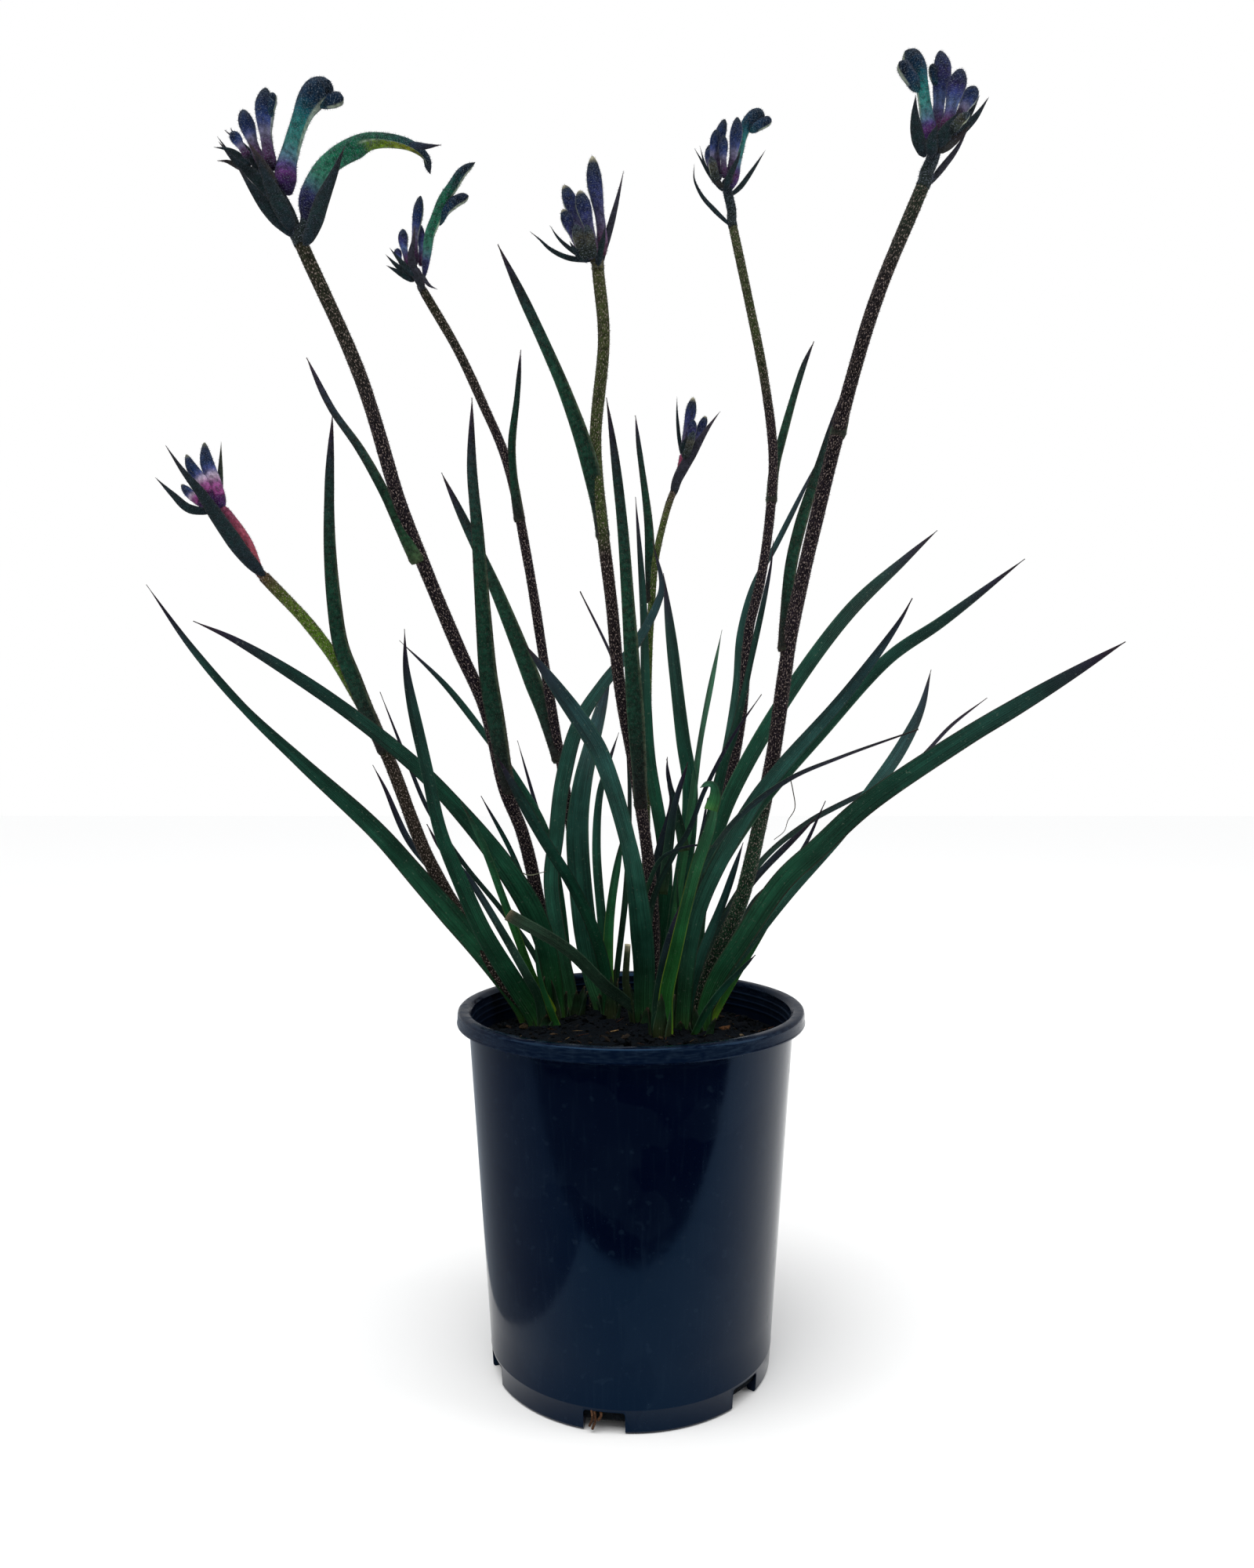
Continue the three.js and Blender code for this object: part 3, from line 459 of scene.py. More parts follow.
@dataclass(frozen=True)
class LeafFinish(Finish):
    """Living leaf blade: a waxy skin over parallel veins, so satin with fine lines along it."""

    name: str = "leaf_blade_waxy"
    fleck: str = "#7f8a78"
    roughness: float = 0.44
    veins: float = 9.0
    vein_depth: float = 0.00012

    def lay(self, tree: Tree) -> None:
        """Lays lines, clouds and flecks over the colour that the blade's points hold."""
        surface, place = surface_place(tree), object_place(tree)
        # Lines about 0.5 mm apart from edge to edge, each some 60 mm long
        streak = speckle(tree, stretched(tree, surface, (22.0, 1.6, 1.0)), 1.0)
        # Finer lines over them, 0.2 mm apart and 20 mm long
        line = speckle(tree, stretched(tree, surface, (60.0, 5.0, 1.0)), 1.0, 1.0)
        # Clouded patches 15 mm across
        cloud = speckle(tree, place, 65.0)
        # Dust and pale flecks 0.7 mm across
        fleck = remap(tree, speckle(tree, place, 700.0, 2.0), 0.0, 0.22, 0.64, 0.74)
        value = combine(tree, "MULTIPLY", remap(tree, streak, 0.62, 1.42),
                        remap(tree, cloud, 0.74, 1.26))
        value = combine(tree, "MULTIPLY", value, remap(tree, line, 0.8, 1.22))
        color = mixed(tree, fleck, shaded(tree, own_tint(tree), value), linear(self.fleck))
        across = add_node(tree, "SeparateXYZ", {"Vector": surface}).outputs["X"]
        ribs = combine(tree, "MULTIPLY", across, 2 * math.pi * self.veins)
        ribs = combine(tree, "COSINE", ribs)
        height = combine(tree, "ADD", ribs, combine(tree, "MULTIPLY", streak, 3.0))
        rough = remap(tree, cloud, self.roughness - 0.07, self.roughness + 0.12)
        cover(tree, height, self.vein_depth, 0.8, Base_Color=color, Roughness=rough,
              Specular_IOR_Level=0.15, IOR=1.45)


@dataclass(frozen=True)
class DownyFinish(Finish):
    """Living skin under short hairs: matt, speckled by the feet of its hairs, with a soft halo."""

    speck: str
    specks: float
    speck_scale: float
    lengthwise: float
    sheen: float = 0.02

    def lay(self, tree: Tree) -> None:
        """Lays hair feet and clouds over the colour that the skin's points hold."""
        surface, place = surface_place(tree), object_place(tree)
        # Hair feet: dashes, as many in 100 mm as speck_scale says, drawn out along the skin
        size = (self.speck_scale, self.speck_scale * self.lengthwise, 1.0)
        hair = speckle(tree, stretched(tree, surface, size), 1.0, 1.0)
        dots = remap(tree, hair, 0.0, self.specks, 0.57, 0.68)
        # Clouding 2.5 mm across
        cloud = speckle(tree, place, 420.0)
        skin = shaded(tree, own_tint(tree), remap(tree, cloud, 0.55, 1.5, 0.35, 0.65))
        color = mixed(tree, dots, skin, linear(self.speck))
        cover(tree, combine(tree, "ADD", hair, cloud), 0.0005, 0.7, Base_Color=color, Roughness=0.8,
              Sheen_Weight=self.sheen, Sheen_Roughness=0.4, Specular_IOR_Level=0.08)


@dataclass(frozen=True)
class HairFinish(Finish):
    """Plant hair: fine and matt, a little uneven from hair to hair."""

    color: str

    def lay(self, tree: Tree) -> None:
        """Lays one colour, lighter and darker by turns of 2.5 mm."""
        value = remap(tree, speckle(tree, object_place(tree), 400.0, 1.0), 0.55, 1.4)
        cover(tree, Base_Color=shaded(tree, linear(self.color), value), Roughness=0.55,
              Specular_IOR_Level=0.4)


@dataclass(frozen=True)
class PotPlastic(Finish):
    """Injection-moulded polypropylene, carbon black: glossy, blue-black, with handling scuffs."""

    name: str = "black_polypropylene_moulded"
    color: str = "#010517"
    scuffed: str = "#22303f"
    shine: str = "#74beff"

    def lay(self, tree: Tree) -> None:
        """Lays a deep gloss, dulled by rain marks, splashes, dust and scuffs on the rim."""
        place = object_place(tree)
        height = add_node(tree, "SeparateXYZ", {"Vector": place}).outputs["Z"]
        # Rain marks: streaks 2 mm wide that run down the wall for some 40 mm
        streak = speckle(tree, stretched(tree, place, (480.0, 480.0, 24.0)), 1.0)
        marks = remap(tree, streak, 0.0, 0.07, 0.55, 0.75)
        # Splashes on the wall: soft spots 5 mm across, palest in the middle
        spots = remap(tree, speckle(tree, place, 190.0, 1.0), 0.0, 0.12, 0.66, 0.74)
        # Dried water: patches up to 80 mm across with a clear edge
        dried = remap(tree, speckle(tree, place, 13.0), 0.0, 0.05, 0.53, 0.545)
        splash = combine(tree, "ADD", spots, dried)
        # Dust specks 0.5 mm across, and clouds of dust 30 mm across
        speck = remap(tree, speckle(tree, place, 1400.0, 1.0), 0.0, 0.45, 0.74, 0.8)
        dust = remap(tree, speckle(tree, place, 32.0, 4.0), 0.0, 0.06, 0.45, 0.75)
        # Scuffs on the rim band: scrapes 6 mm long that run round it
        rim = remap(tree, height, 0.0, 0.4, 0.190, 0.200)
        scrape = speckle(tree, stretched(tree, place, (160.0, 160.0, 900.0)), 1.0, 6.0)
        total = combine(tree, "MULTIPLY", rim, remap(tree, scrape, 0.0, 1.0, 0.42, 0.72))
        for layer in (marks, splash, dust):
            total = combine(tree, "ADD", total, layer)
        total = combine(tree, "ADD", total, speck, clamp=True)
        color = mixed(tree, total, linear(self.color), linear(self.scuffed))
        rough = remap(tree, total, 0.11, 0.5, 0.0, 0.6)
        # The inside above the mix is dulled by splashed grit
        flat = stretched(tree, place, (1.0, 1.0, 0.0))
        radius = add_node(tree, "VectorMath", {0: flat}, operation="LENGTH").outputs["Value"]
        inside = combine(tree, "MULTIPLY", remap(tree, radius, 0.7, 0.0, 0.0920, 0.0923),
                         remap(tree, height, 0.0, 1.0, 0.178, 0.181))
        rough = combine(tree, "MAXIMUM", rough, inside)
        grain = speckle(tree, place, 55.0, 2.0)
        cover(tree, grain, 0.0008, 0.12, Base_Color=color, Roughness=rough, IOR=1.49,
              Specular_IOR_Level=0.21, Specular_Tint=linear(self.shine))


@dataclass(frozen=True)
class SoilFinish(Finish):
    """Damp potting mix of composted bark: near black, matt, with brown crumbs and pale grit."""

    name: str = "potting_mix_composted_bark"

    def lay(self, tree: Tree) -> None:
        """Lays crumbs of two sizes over the colour that the mix's points hold."""
        place = object_place(tree)
        # Crumbs 3 mm across
        crumb = add_node(tree, "TexVoronoi", {"Vector": place, "Scale": 330.0})
        shade = add_node(tree, "SeparateColor", {0: crumb.outputs["Color"]}).outputs[0]
        # Dust 0.6 mm across
        fine = speckle(tree, place, 1500.0)
        value = combine(tree, "MULTIPLY", remap(tree, shade, 0.55, 1.5, 0.0, 1.0),
                        remap(tree, fine, 0.5, 1.45))
        color = shaded(tree, own_tint(tree), value)
        height = combine(tree, "ADD", crumb.outputs["Distance"], fine)
        cover(tree, height, 0.0012, 0.9, Base_Color=color, Roughness=0.92, Specular_IOR_Level=0.1)


@dataclass(frozen=True)
class StudioPaper(Finish):
    """Matt dyed paper or card: pale and seamless for the floor, dark for what the pot mirrors."""

    color: str
    roughness: float = 1.0

    def lay(self, tree: Tree) -> None:
        """Lays one plain colour."""
        cover(tree, Base_Color=linear(self.color), Roughness=self.roughness)




# Looks, as colours from the foot of each part to its tip


class Sward(Enum):
    """How a leaf is coloured from its foot to its tip."""

    DARK = ((0, "#3c5a20"), (0.05, "#1c4a24"), (0.15, "#0f3d26"), (0.55, "#0c382a"),
            (0.85, "#112f2a"), (0.95, "#211d2e"), (1, "#33242a"))
    BLUE = ((0, "#3c5a28"), (0.06, "#224c2c"), (0.2, "#1c4838"), (0.6, "#1b423a"),
            (0.86, "#183336"), (0.95, "#1f2733"), (1, "#38292e"))
    BRIGHT = ((0, "#8a9a26"), (0.1, "#6f9422"), (0.2, "#36702a"), (0.5, "#17522c"),
              (0.9, "#163e2c"), (1, "#34342a"))
    LIME = ((0, "#8a9a26"), (0.05, "#5f8a22"), (0.1, "#245c24"), (0.45, "#185028"),
            (0.85, "#1c4a30"), (1, "#356044"))
    DUSK = ((0, "#33452a"), (0.1, "#1a3a26"), (0.45, "#132e27"), (0.75, "#1a2430"),
            (0.92, "#231c2e"), (1, "#38292e"))
    YOUNG = ((0, "#34602c"), (0.2, "#225a30"), (0.6, "#1c4a34"), (0.9, "#2c5640"), (1, "#4a6450"))
    STEM = ((0, "#1c1a1a"), (0.08, "#161f1d"), (0.24, "#0e3024"), (0.55, "#0e3224"),
            (0.8, "#122826"), (0.93, "#1e192a"), (1, "#36282c"))
    DRY = ((0, "#1c2418"), (0.15, "#1a3024"), (0.5, "#233e2e"), (0.9, "#2a4232"),
           (0.97, "#2f3a2c"), (1, "#5f5644"))
    PALE = ((0, "#26301c"), (0.5, "#2c3a24"), (0.9, "#34402a"), (0.97, "#8c8a70"), (1, "#c6bfa2"))
    THREAD = ((0, "#3a3428"), (0.5, "#5a5242"), (1, "#3c362c"))
    FIBRE = ((0, "#6f7460"), (0.5, "#8f9078"), (1, "#6f7460"))
    SCALE = ((0, "#241f14"), (0.45, "#26301a"), (0.7, "#16301c"), (0.92, "#1c2c1c"), (1, "#4a3c2c"))


class Bark(Enum):
    """How a flower stem is coloured from the soil to its head."""

    UMBER = ((0, "#222a1a"), (0.08, "#181218"), (0.4, "#110c14"), (0.8, "#141016"), (1, "#1e2214"))
    SHEATHED = ((0, "#122a1a"), (0.2, "#14301f"), (0.3, "#182c1f"), (0.34, "#181218"),
                (0.7, "#110c14"), (0.9, "#151215"), (1, "#1a241a"))
    OLIVE = ((0, "#222a1a"), (0.1, "#181317"), (0.5, "#151016"), (0.66, "#1c1616"),
             (0.7, "#2f3c1c"), (1, "#343a20"))
    SLATE = ((0, "#222a1a"), (0.1, "#181317"), (0.5, "#120d16"), (0.76, "#181218"),
             (0.86, "#2a341a"), (1, "#2c341e"))
    GREEN = ((0, "#223018"), (0.3, "#2a4016"), (0.7, "#324c16"), (0.93, "#303a18"),
             (1, "#2c1f1c"))
    MOSS = ((0, "#2a2e1a"), (0.1, "#1a1712"), (0.6, "#1d1812"), (0.66, "#304216"),
            (0.85, "#3c5a12"), (0.95, "#3c4a18"), (1, "#3a2a1c"))


class Stalk(Enum):
    """How the stalk inside a head is coloured."""

    INK = ((0, "#1e2624"), (0.4, "#16201f"), (1, "#15202c"))
    PLUM = ((0, "#2b2a24"), (0.5, "#33303a"), (1, "#3a2f44"))
    OLIVE = ((0, "#4a4a30"), (0.6, "#4a4232"), (1, "#6a3a40"))
    PINK = ((0, "#4a3a24"), (0.15, "#8a4048"), (0.6, "#8f3f50"), (1, "#6a2a4a"))


class Bloom(Enum):
    """How a flower is coloured from its seed case to its tip."""

    TEAL = ((0, "#20143a"), (0.06, "#301a48"), (0.13, "#4a2456"), (0.2, "#41366a"),
            (0.27, "#4a6c7e"), (0.4, "#33746f"), (0.56, "#1a5f5c"), (0.68, "#0f4450"),
            (0.78, "#0a263c"), (1, "#081824"))
    GREEN = ((0, "#15152f"), (0.1, "#181840"), (0.14, "#262a50"), (0.19, "#34585c"),
             (0.26, "#2a6450"), (0.4, "#14563e"), (0.62, "#0d4a32"), (0.78, "#0c3834"),
             (0.87, "#0a2230"), (1, "#10161f"))
    NAVY = ((0, "#20142a"), (0.12, "#3c2040"), (0.3, "#443450"), (0.44, "#66647e"),
            (0.54, "#303c6c"), (0.66, "#0f2248"), (0.88, "#08182e"), (1, "#0e1a20"))
    PLUM = ((0, "#301632"), (0.12, "#4c2048"), (0.25, "#40355c"), (0.42, "#4a5c84"),
            (0.55, "#2a3262"), (0.7, "#231f46"), (0.8, "#10193a"), (1, "#0a1626"))
    VIOLET = ((0, "#40202f"), (0.12, "#4c2e46"), (0.32, "#4a4460"), (0.5, "#2d3058"),
              (0.7, "#151f46"), (0.91, "#101c2a"), (0.965, "#8c8872"), (1, "#b9b49e"))
    MAGENTA = ((0, "#2c1848"), (0.12, "#43184c"), (0.16, "#3a1440"), (0.2, "#80346e"),
               (0.34, "#8a4a80"), (0.46, "#aa9aac"), (0.55, "#3c4478"), (0.66, "#10264a"),
               (0.9, "#0d1a32"), (0.965, "#5c5e54"), (1, "#a8a48e"))
    CAP = ((0, "#0f3a42"), (0.35, "#0c263c"), (1, "#0a1526"))
    TAN = ((0, "#141c1a"), (0.3, "#222822"), (0.6, "#3a392f"), (0.78, "#222a2e"),
           (1, "#0e1c28"))


class Husk(Enum):
    """How a bract or a petal lobe is coloured from its foot to its tip."""

    DARK = ((0, "#07161e"), (0.35, "#062020"), (0.75, "#0b1b20"), (0.92, "#1c1a1e"),
            (1, "#33272a"))
    GREY = ((0, "#1a2022"), (0.3, "#25242e"), (0.7, "#2a2734"), (1, "#3c3034"))
    UMBER = ((0, "#1a1c18"), (0.4, "#2a2824"), (0.8, "#271d20"), (1, "#40332f"))
    OLIVE = ((0, "#1c2a20"), (0.4, "#283424"), (0.8, "#2f3024"), (1, "#40382c"))
    INDIGO = ((0, "#0b222f"), (0.5, "#0f1a2f"), (0.85, "#1e1722"), (1, "#3f3030"))


# The edges of a sheath, a fresh blade and a bract, the seams between petals, and blades' edges
MARGIN = "#4c5240"
FRESH_EDGE = "#8fa82c"
HUSK_EDGE = "#3f3430"
PETAL_SEAM = "#a9b39a"
EDGES = ("#2c1c1c", "#47604a", "#3c2424", "#2c4a38", "#55705a")
SLIT_INSIDE: Stops = ((0, "#1f3a14"), (0.3, "#56701a"), (0.6, "#767a1e"), (0.8, "#3a441c"),
                      (1, "#101c20"))


class Stage(Enum):
    """How far a flower has opened, as its girth from its seed case to its tip."""

    CLUB = ((0, 0.5), (0.06, 0.7), (0.14, 0.72), (0.25, 0.6), (0.42, 0.6), (0.56, 0.8),
            (0.7, 0.98), (0.8, 0.96), (0.88, 0.76), (0.95, 0.5), (0.99, 0.22), (1, 0.02))
    BUD = ((0, 0.6), (0.06, 0.85), (0.14, 1), (0.3, 0.94), (0.5, 0.9), (0.66, 0.94),
           (0.8, 0.76), (0.9, 0.5), (0.96, 0.3), (0.99, 0.16), (1, 0.02))
    LOBE = ((0, 0.14), (0.05, 0.42), (0.12, 0.66), (0.25, 0.85), (0.6, 1), (0.85, 0.9),
            (0.95, 0.6), (1, 0.03))
    CLOSED = ((0, 0.5), (0.05, 0.9), (0.11, 1.2), (0.19, 1.16), (0.27, 0.96), (0.4, 0.88),
              (0.55, 0.86), (0.66, 0.96), (0.77, 1.26), (0.87, 1.44), (0.94, 1.26),
              (0.98, 0.8), (1, 0.03))
    OPEN = ((0, 0.45), (0.05, 0.72), (0.1, 0.84), (0.16, 0.78), (0.3, 0.9), (0.45, 1),
            (0.6, 1), (0.75, 0.94), (0.86, 0.78), (0.94, 0.48), (1, 0.04))


def smooth_profile(profile: Profile, f: Array) -> Array:
    """Reads a profile with rounded corners, by averaging it over a short stretch."""
    at, value = zip(*profile)
    reach = np.minimum(0.03, np.minimum(f, 1 - f))
    reads = [np.interp(f + reach * step, at, value) for step in (-1, -0.5, 0, 0.5, 1)]
    return sum(reads) / len(reads)


def leaf_width(widths: tuple[float, ...], f: Array) -> Array:
    """Gives a leaf's width at fractions of its length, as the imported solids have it.

    Args:
        widths: The widths at each quarter, and a fifth at the end of a leaf that is broken off.
        f: The fractions.

    Returns:
        The widths in millimetres.
    """
    if len(widths) == 5:
        return np.interp(f, np.linspace(0, 1, 5), widths)
    beyond = np.clip((f - 0.75) / 0.25, 0, 1)
    return np.interp(f, (0, 0.25, 0.5, 0.75), widths) * (1 - beyond * beyond)


# The plant

SOIL_TOP = 187.0
ROOT_DEPTH = 15.0
# Extra rings at a sheath's foot, in millimetres from it
SHEATH_RINGS = np.array((0.5, 1.2, 2, 3, 4.5))
SCALE_SHAPE: Profile = ((0, 0.24), (0.03, 0.56), (0.08, 0.78), (0.28, 1.0), (0.5, 0.86),
                        (0.7, 0.54), (0.86, 0.24), (1, 0.02))


@dataclass(frozen=True)
class Leaf:
    """A sword-shaped leaf: its route, its widths, how far it turns, and its colours."""

    route: Route
    widths: tuple[float, ...]
    turn: float
    look: Sward
    thickness: float = 1.1
    tip_width: float = 0.5
    row_length: float = 3.2
    around: int = 20
    camber: float = 0.09
    facing: float = 0.0

    def rows(self, curve: Curve) -> Array:
        """Gives the fraction of the length at each ring, closer together at the tip."""
        return rings(curve.length, self.row_length, fewest=24, crowding=1.12)

    def tint(self, seed: float) -> Tint:
        """Gives the colours: the look from foot to tip, with a paler midline, darker edges and
        painted shade on one side of the fold.
        """

        def tint(f: Array, angle: Array) -> Array:
            side = np.abs(np.cos(angle))
            base = blend_stops(self.look.value, f)
            middle = 1 + 0.14 * (1 - ease(side, 0.0, 0.3)) * (1 - ease(f, 0.8, 1))
            # Slow and quick changes of tone along the blade
            drift = 1 + 0.10 * np.sin(f * 9 + seed) + 0.06 * np.sin(f * 31 + 2 * seed)
            # Painted light and shade on the fold: one side of the fold is paler than the other, as
            # if one half faced the light
            fold_shade = 1 + 0.17 * np.tanh(5 * np.cos(angle)) * math.copysign(1, math.sin(5 * seed + 1))
            rim = rgb(EDGES[int(seed * 7) % len(EDGES)])
            if self.look in (Sward.LIME, Sward.BRIGHT):
                rim = toward(rim, rgb(FRESH_EDGE), 1 - ease(f, 0.2, 0.9))
            return toward(base * (middle * drift * fold_shade)[:, None], rim, ease(side, 0.88, 1.0) * 0.6)

        return tint

    def grow(self, skin: Skin, seed: float) -> None:
        """Adds the leaf to a piece.

        Args:
            skin: The piece.
            seed: A number that varies the leaf.
        """
        curve = Curve(self.route)
        rows = self.rows(curve)

        def section(f: Array, angle: Array) -> tuple[Array, Array]:
            width = np.maximum(leaf_width(self.widths, f), self.tip_width)
            thick = self.thickness * (1 - 0.5 * f)
            side, face = np.cos(angle), np.sin(angle)
            rib = 1 + 0.16 * np.cos(side * math.pi * 4)
            lens = np.sign(face) * np.abs(face) ** 0.75 * thick / 2 * rib
            # A shallow fold along the midline, and a waved edge
            cup = self.camber * width * (np.sqrt(side * side + 0.01) - 0.6)
            wave = 0.35 * np.sin(f * curve.length / 17 + seed) * side * ease(f, 0.1, 0.3)
            return width / 2 * side, lens + cup + wave

        turn = self.facing + self.turn * ease(rows, 0.1, 0.55)
        skin.sweep(curve, rows, self.around, section, self.tint(seed), turn, flat=True)

    def sheathe(self, skin: Skin, stem: Curve, girth: Pair, seed: float) -> None:
        """Adds the leaf with its base as a sheath round a stem.

        Args:
            skin: The piece.
            stem: The stem's curve.
            girth: How thick the stem is at its foot and at its top.
            seed: A number that varies the leaf.
        """
        curve = Curve(self.route)
        near = int(np.argmin(np.linalg.norm(stem.points - curve.points[0], axis=1)))
        radius = taper(girth, stem.lengths[near] / stem.length) / 2
        rows = np.sort(np.append(self.rows(curve), SHEATH_RINGS / curve.length))
        plain = self.tint(seed)

        def section(f: Array, angle: Array) -> tuple[Array, Array]:
            hold = 1 - ease(f, 0.02, 0.3)
            along = f * curve.length
            # A thin collar clasps the stem, with the swelling of the node in it
            node = 0.3 * np.exp(-(((along - 2.2) / 1.6) ** 2))
            collar = 0.05 + 0.3 * ease(along, 0, 2.5) + node
            width = np.maximum(leaf_width(self.widths, f), self.tip_width) / 2
            thick = self.thickness * (1 - 0.4 * f) / 2
            wide = width * (1 - hold) + (radius + collar + 0.1) * hold
            deep = thick * (1 - hold) + (radius + collar) * hold
            side, face = np.cos(angle), np.sin(angle)
            cup = 0.10 * wide * (side * side - 0.4) * (1 - hold)
            return wide * side, np.sign(face) * np.abs(face) ** 0.85 * deep + cup

        def tint(f: Array, angle: Array) -> Array:
            side = np.cos(angle - 0.5)
            # A pale line where the margins of the sheath meet, and a pale ring at its foot
            line = ease(side, 0.95, 1.0) * ease(f, 0.02, 0.08) * (1 - ease(f, 0.5, 0.75))
            line = np.maximum(line * 0.5, 0.15 * (1 - ease(f * curve.length, 1, 3)))
            return toward(plain(f, angle), rgb(MARGIN), line)

        turn = self.turn * ease(rows, 0.2, 0.6)
        skin.sweep(curve, rows, self.around, section, tint, turn, flat=True, material=1)


@dataclass(frozen=True)
class Scale:
    """A bract or a petal lobe: a short pointed scale."""

    route: Route
    width: float
    look: Husk = Husk.DARK
    thickness: float = 0.9
    row_length: float = 1.8
    around: int = 12

    def grow(self, skin: Skin, end: Array) -> None:
        """Adds the scale to a head.

        Args:
            skin: The head.
            end: The end of the stem.
        """
        curve = Curve(self.route, end)
        rows = rings(curve.length, self.row_length, fewest=14, crowding=1.15)

        def section(f: Array, angle: Array) -> tuple[Array, Array]:
            width = self.width * smooth_profile(SCALE_SHAPE, f) / 2
            side, face = np.cos(angle), np.sin(angle)
            cup = -0.16 * width * (side * side - 0.4)
            return width * side, face * self.thickness / 2 * (1 - 0.6 * f) + cup

        def tint(f: Array, angle: Array) -> Array:
            colors = blend_stops(self.look.value, f) * (1 + 0.15 * np.sin(f * 9))[:, None]
            return toward(colors, rgb(HUSK_EDGE), ease(np.abs(np.cos(angle)), 0.8, 1) * 0.35)

        skin.sweep(curve, rows, self.around, section, tint, flat=True)


@dataclass(frozen=True)
class Flower:
    """A woolly tube of petals on its seed case, shut or split open along its inner side."""

    stage: Stage
    route: Route
    width: float
    look: Bloom
    row_length: float = 1.2
    around: int = 24
    # Where a split begins, is wide open, begins to close and is shut, from foot to tip
    split_start: float = 0.5
    split_wide: float = 0.68
    split_end: float = 0.86
    split_shut: float = 0.97

    def grow(self, skin: Skin, end: Array, seed: float) -> None:
        """Adds the flower to a head.

        Args:
            skin: The head.
            end: The end of the stem.
            seed: A number that varies the flower.
        """
        curve = Curve(self.route, end)
        rows = rings(curve.length, self.row_length, fewest=22, crowding=1.2)
        leans_left = curve.points[-1, 0] < curve.points[len(curve.points) // 2, 0]
        inner = math.pi if leans_left else 0.0

        def gap(f: Array) -> Array:
            if self.stage is not Stage.OPEN:
                return np.zeros(len(f))
            opened = ease(f, self.split_start, self.split_wide)
            return opened * (1 - ease(f, self.split_end, self.split_shut))

        def section(f: Array, angle: Array) -> tuple[Array, Array]:
            radius = self.width / 2 * smooth_profile(self.stage.value, f)
            # Six petals are joined side by side
            ribs = ease(f, 0.2, 0.35) * 0.035
            radius = radius * (1 + ribs * np.cos(6 * (angle - inner) + math.pi))
            flat = 1 - 0.5 * ease(f, 0.5, 0.9) if self.stage is Stage.OPEN else 1.0
            x, y = radius * np.cos(angle), radius * np.sin(angle) * flat
            # The inner side is pressed in where the tube is split
            facing = np.clip(np.cos(angle - inner), 0, 1) ** 1.5
            push = 1.45 * radius * gap(f) * facing
            return x - np.cos(inner) * push, y

        def tint(f: Array, angle: Array) -> Array:
            colors = blend_stops(self.look.value, f)
            drift = 1 + 0.12 * np.sin(f * 13 + seed) + 0.08 * np.cos(3 * angle + seed)
            colors = colors * drift[:, None]
            across = np.cos(angle - inner)
            seam = ease(across, 0.86, 0.99) * ease(f, 0.25, 0.4)
            if self.stage is Stage.OPEN:
                lit = blend_stops(SLIT_INSIDE, (f - self.split_start) / (1 - self.split_start))
                colors = toward(colors, lit, ease(across, 0.25, 0.5) * ease(gap(f), 0.1, 0.5))
                seam = np.exp(-(((across - 0.28) / 0.13) ** 2)) * ease(gap(f), 0, 0.3) * 0.9
            return toward(colors, rgb(PETAL_SEAM), seam * 0.5)

        skin.sweep(curve, rows, self.around, section, tint)


@dataclass(frozen=True)
class Head:
    """A flower head: its branching axis with flowers, lobes and bracts, from the stem's end."""

    stalk: Stalk
    axis: Route
    girth: Pair
    flowers: tuple[Flower, ...]
    bracts: tuple[Scale, ...]
    fork: Route = ()
    lobes: tuple[Scale, ...] = ()
    gap: float = 0.35
    collar: float = 4.0
    rows: int = 25
    around: int = 14
    seed_step: float = 1.7

    def build(self, name: str, stem: Curve, finishes: Finishes, slot: str) -> Object:
        """Builds the head and sets it in place.

        Args:
            name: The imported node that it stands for.
            stem: The curve of its stem.
            finishes: The materials.
            slot: The record's slot for it.

        Returns:
            The head.
        """
        end = stem.points[-1]
        onward = unit(stem.slopes[-1])
        start = tuple(tuple(onward * step) for step in (self.gap, self.collar))
        skin = Skin()
        self._stalk(skin, Curve(start + self.axis, end))
        if self.fork:
            self._stalk(skin, Curve((start[1], *self.fork[1:]), end))
        for number, flower in enumerate(self.flowers):
            flower.grow(skin, end, number * self.seed_step)
        for scale in self.lobes + self.bracts:
            scale.grow(skin, end)
        piece = add_object(name + "_bloom", skin.bm, finishes.petal)
        set_in_place(piece, slot, name)
        return piece

    def _stalk(self, skin: Skin, curve: Curve) -> None:
        """Adds a stalk that tapers to a rounded end."""

        def section(f: Array, angle: Array) -> tuple[Array, Array]:
            radius = taper(self.girth, f) / 2 * np.sqrt(np.clip((1.002 - f) / 0.08, 0, 1))
            return radius * np.cos(angle), radius * np.sin(angle)

        def tint(f: Array, angle: Array) -> Array:
            return blend_stops(self.stalk.value, f)

        skin.sweep(curve, np.linspace(0, 1, self.rows), self.around, section, tint)


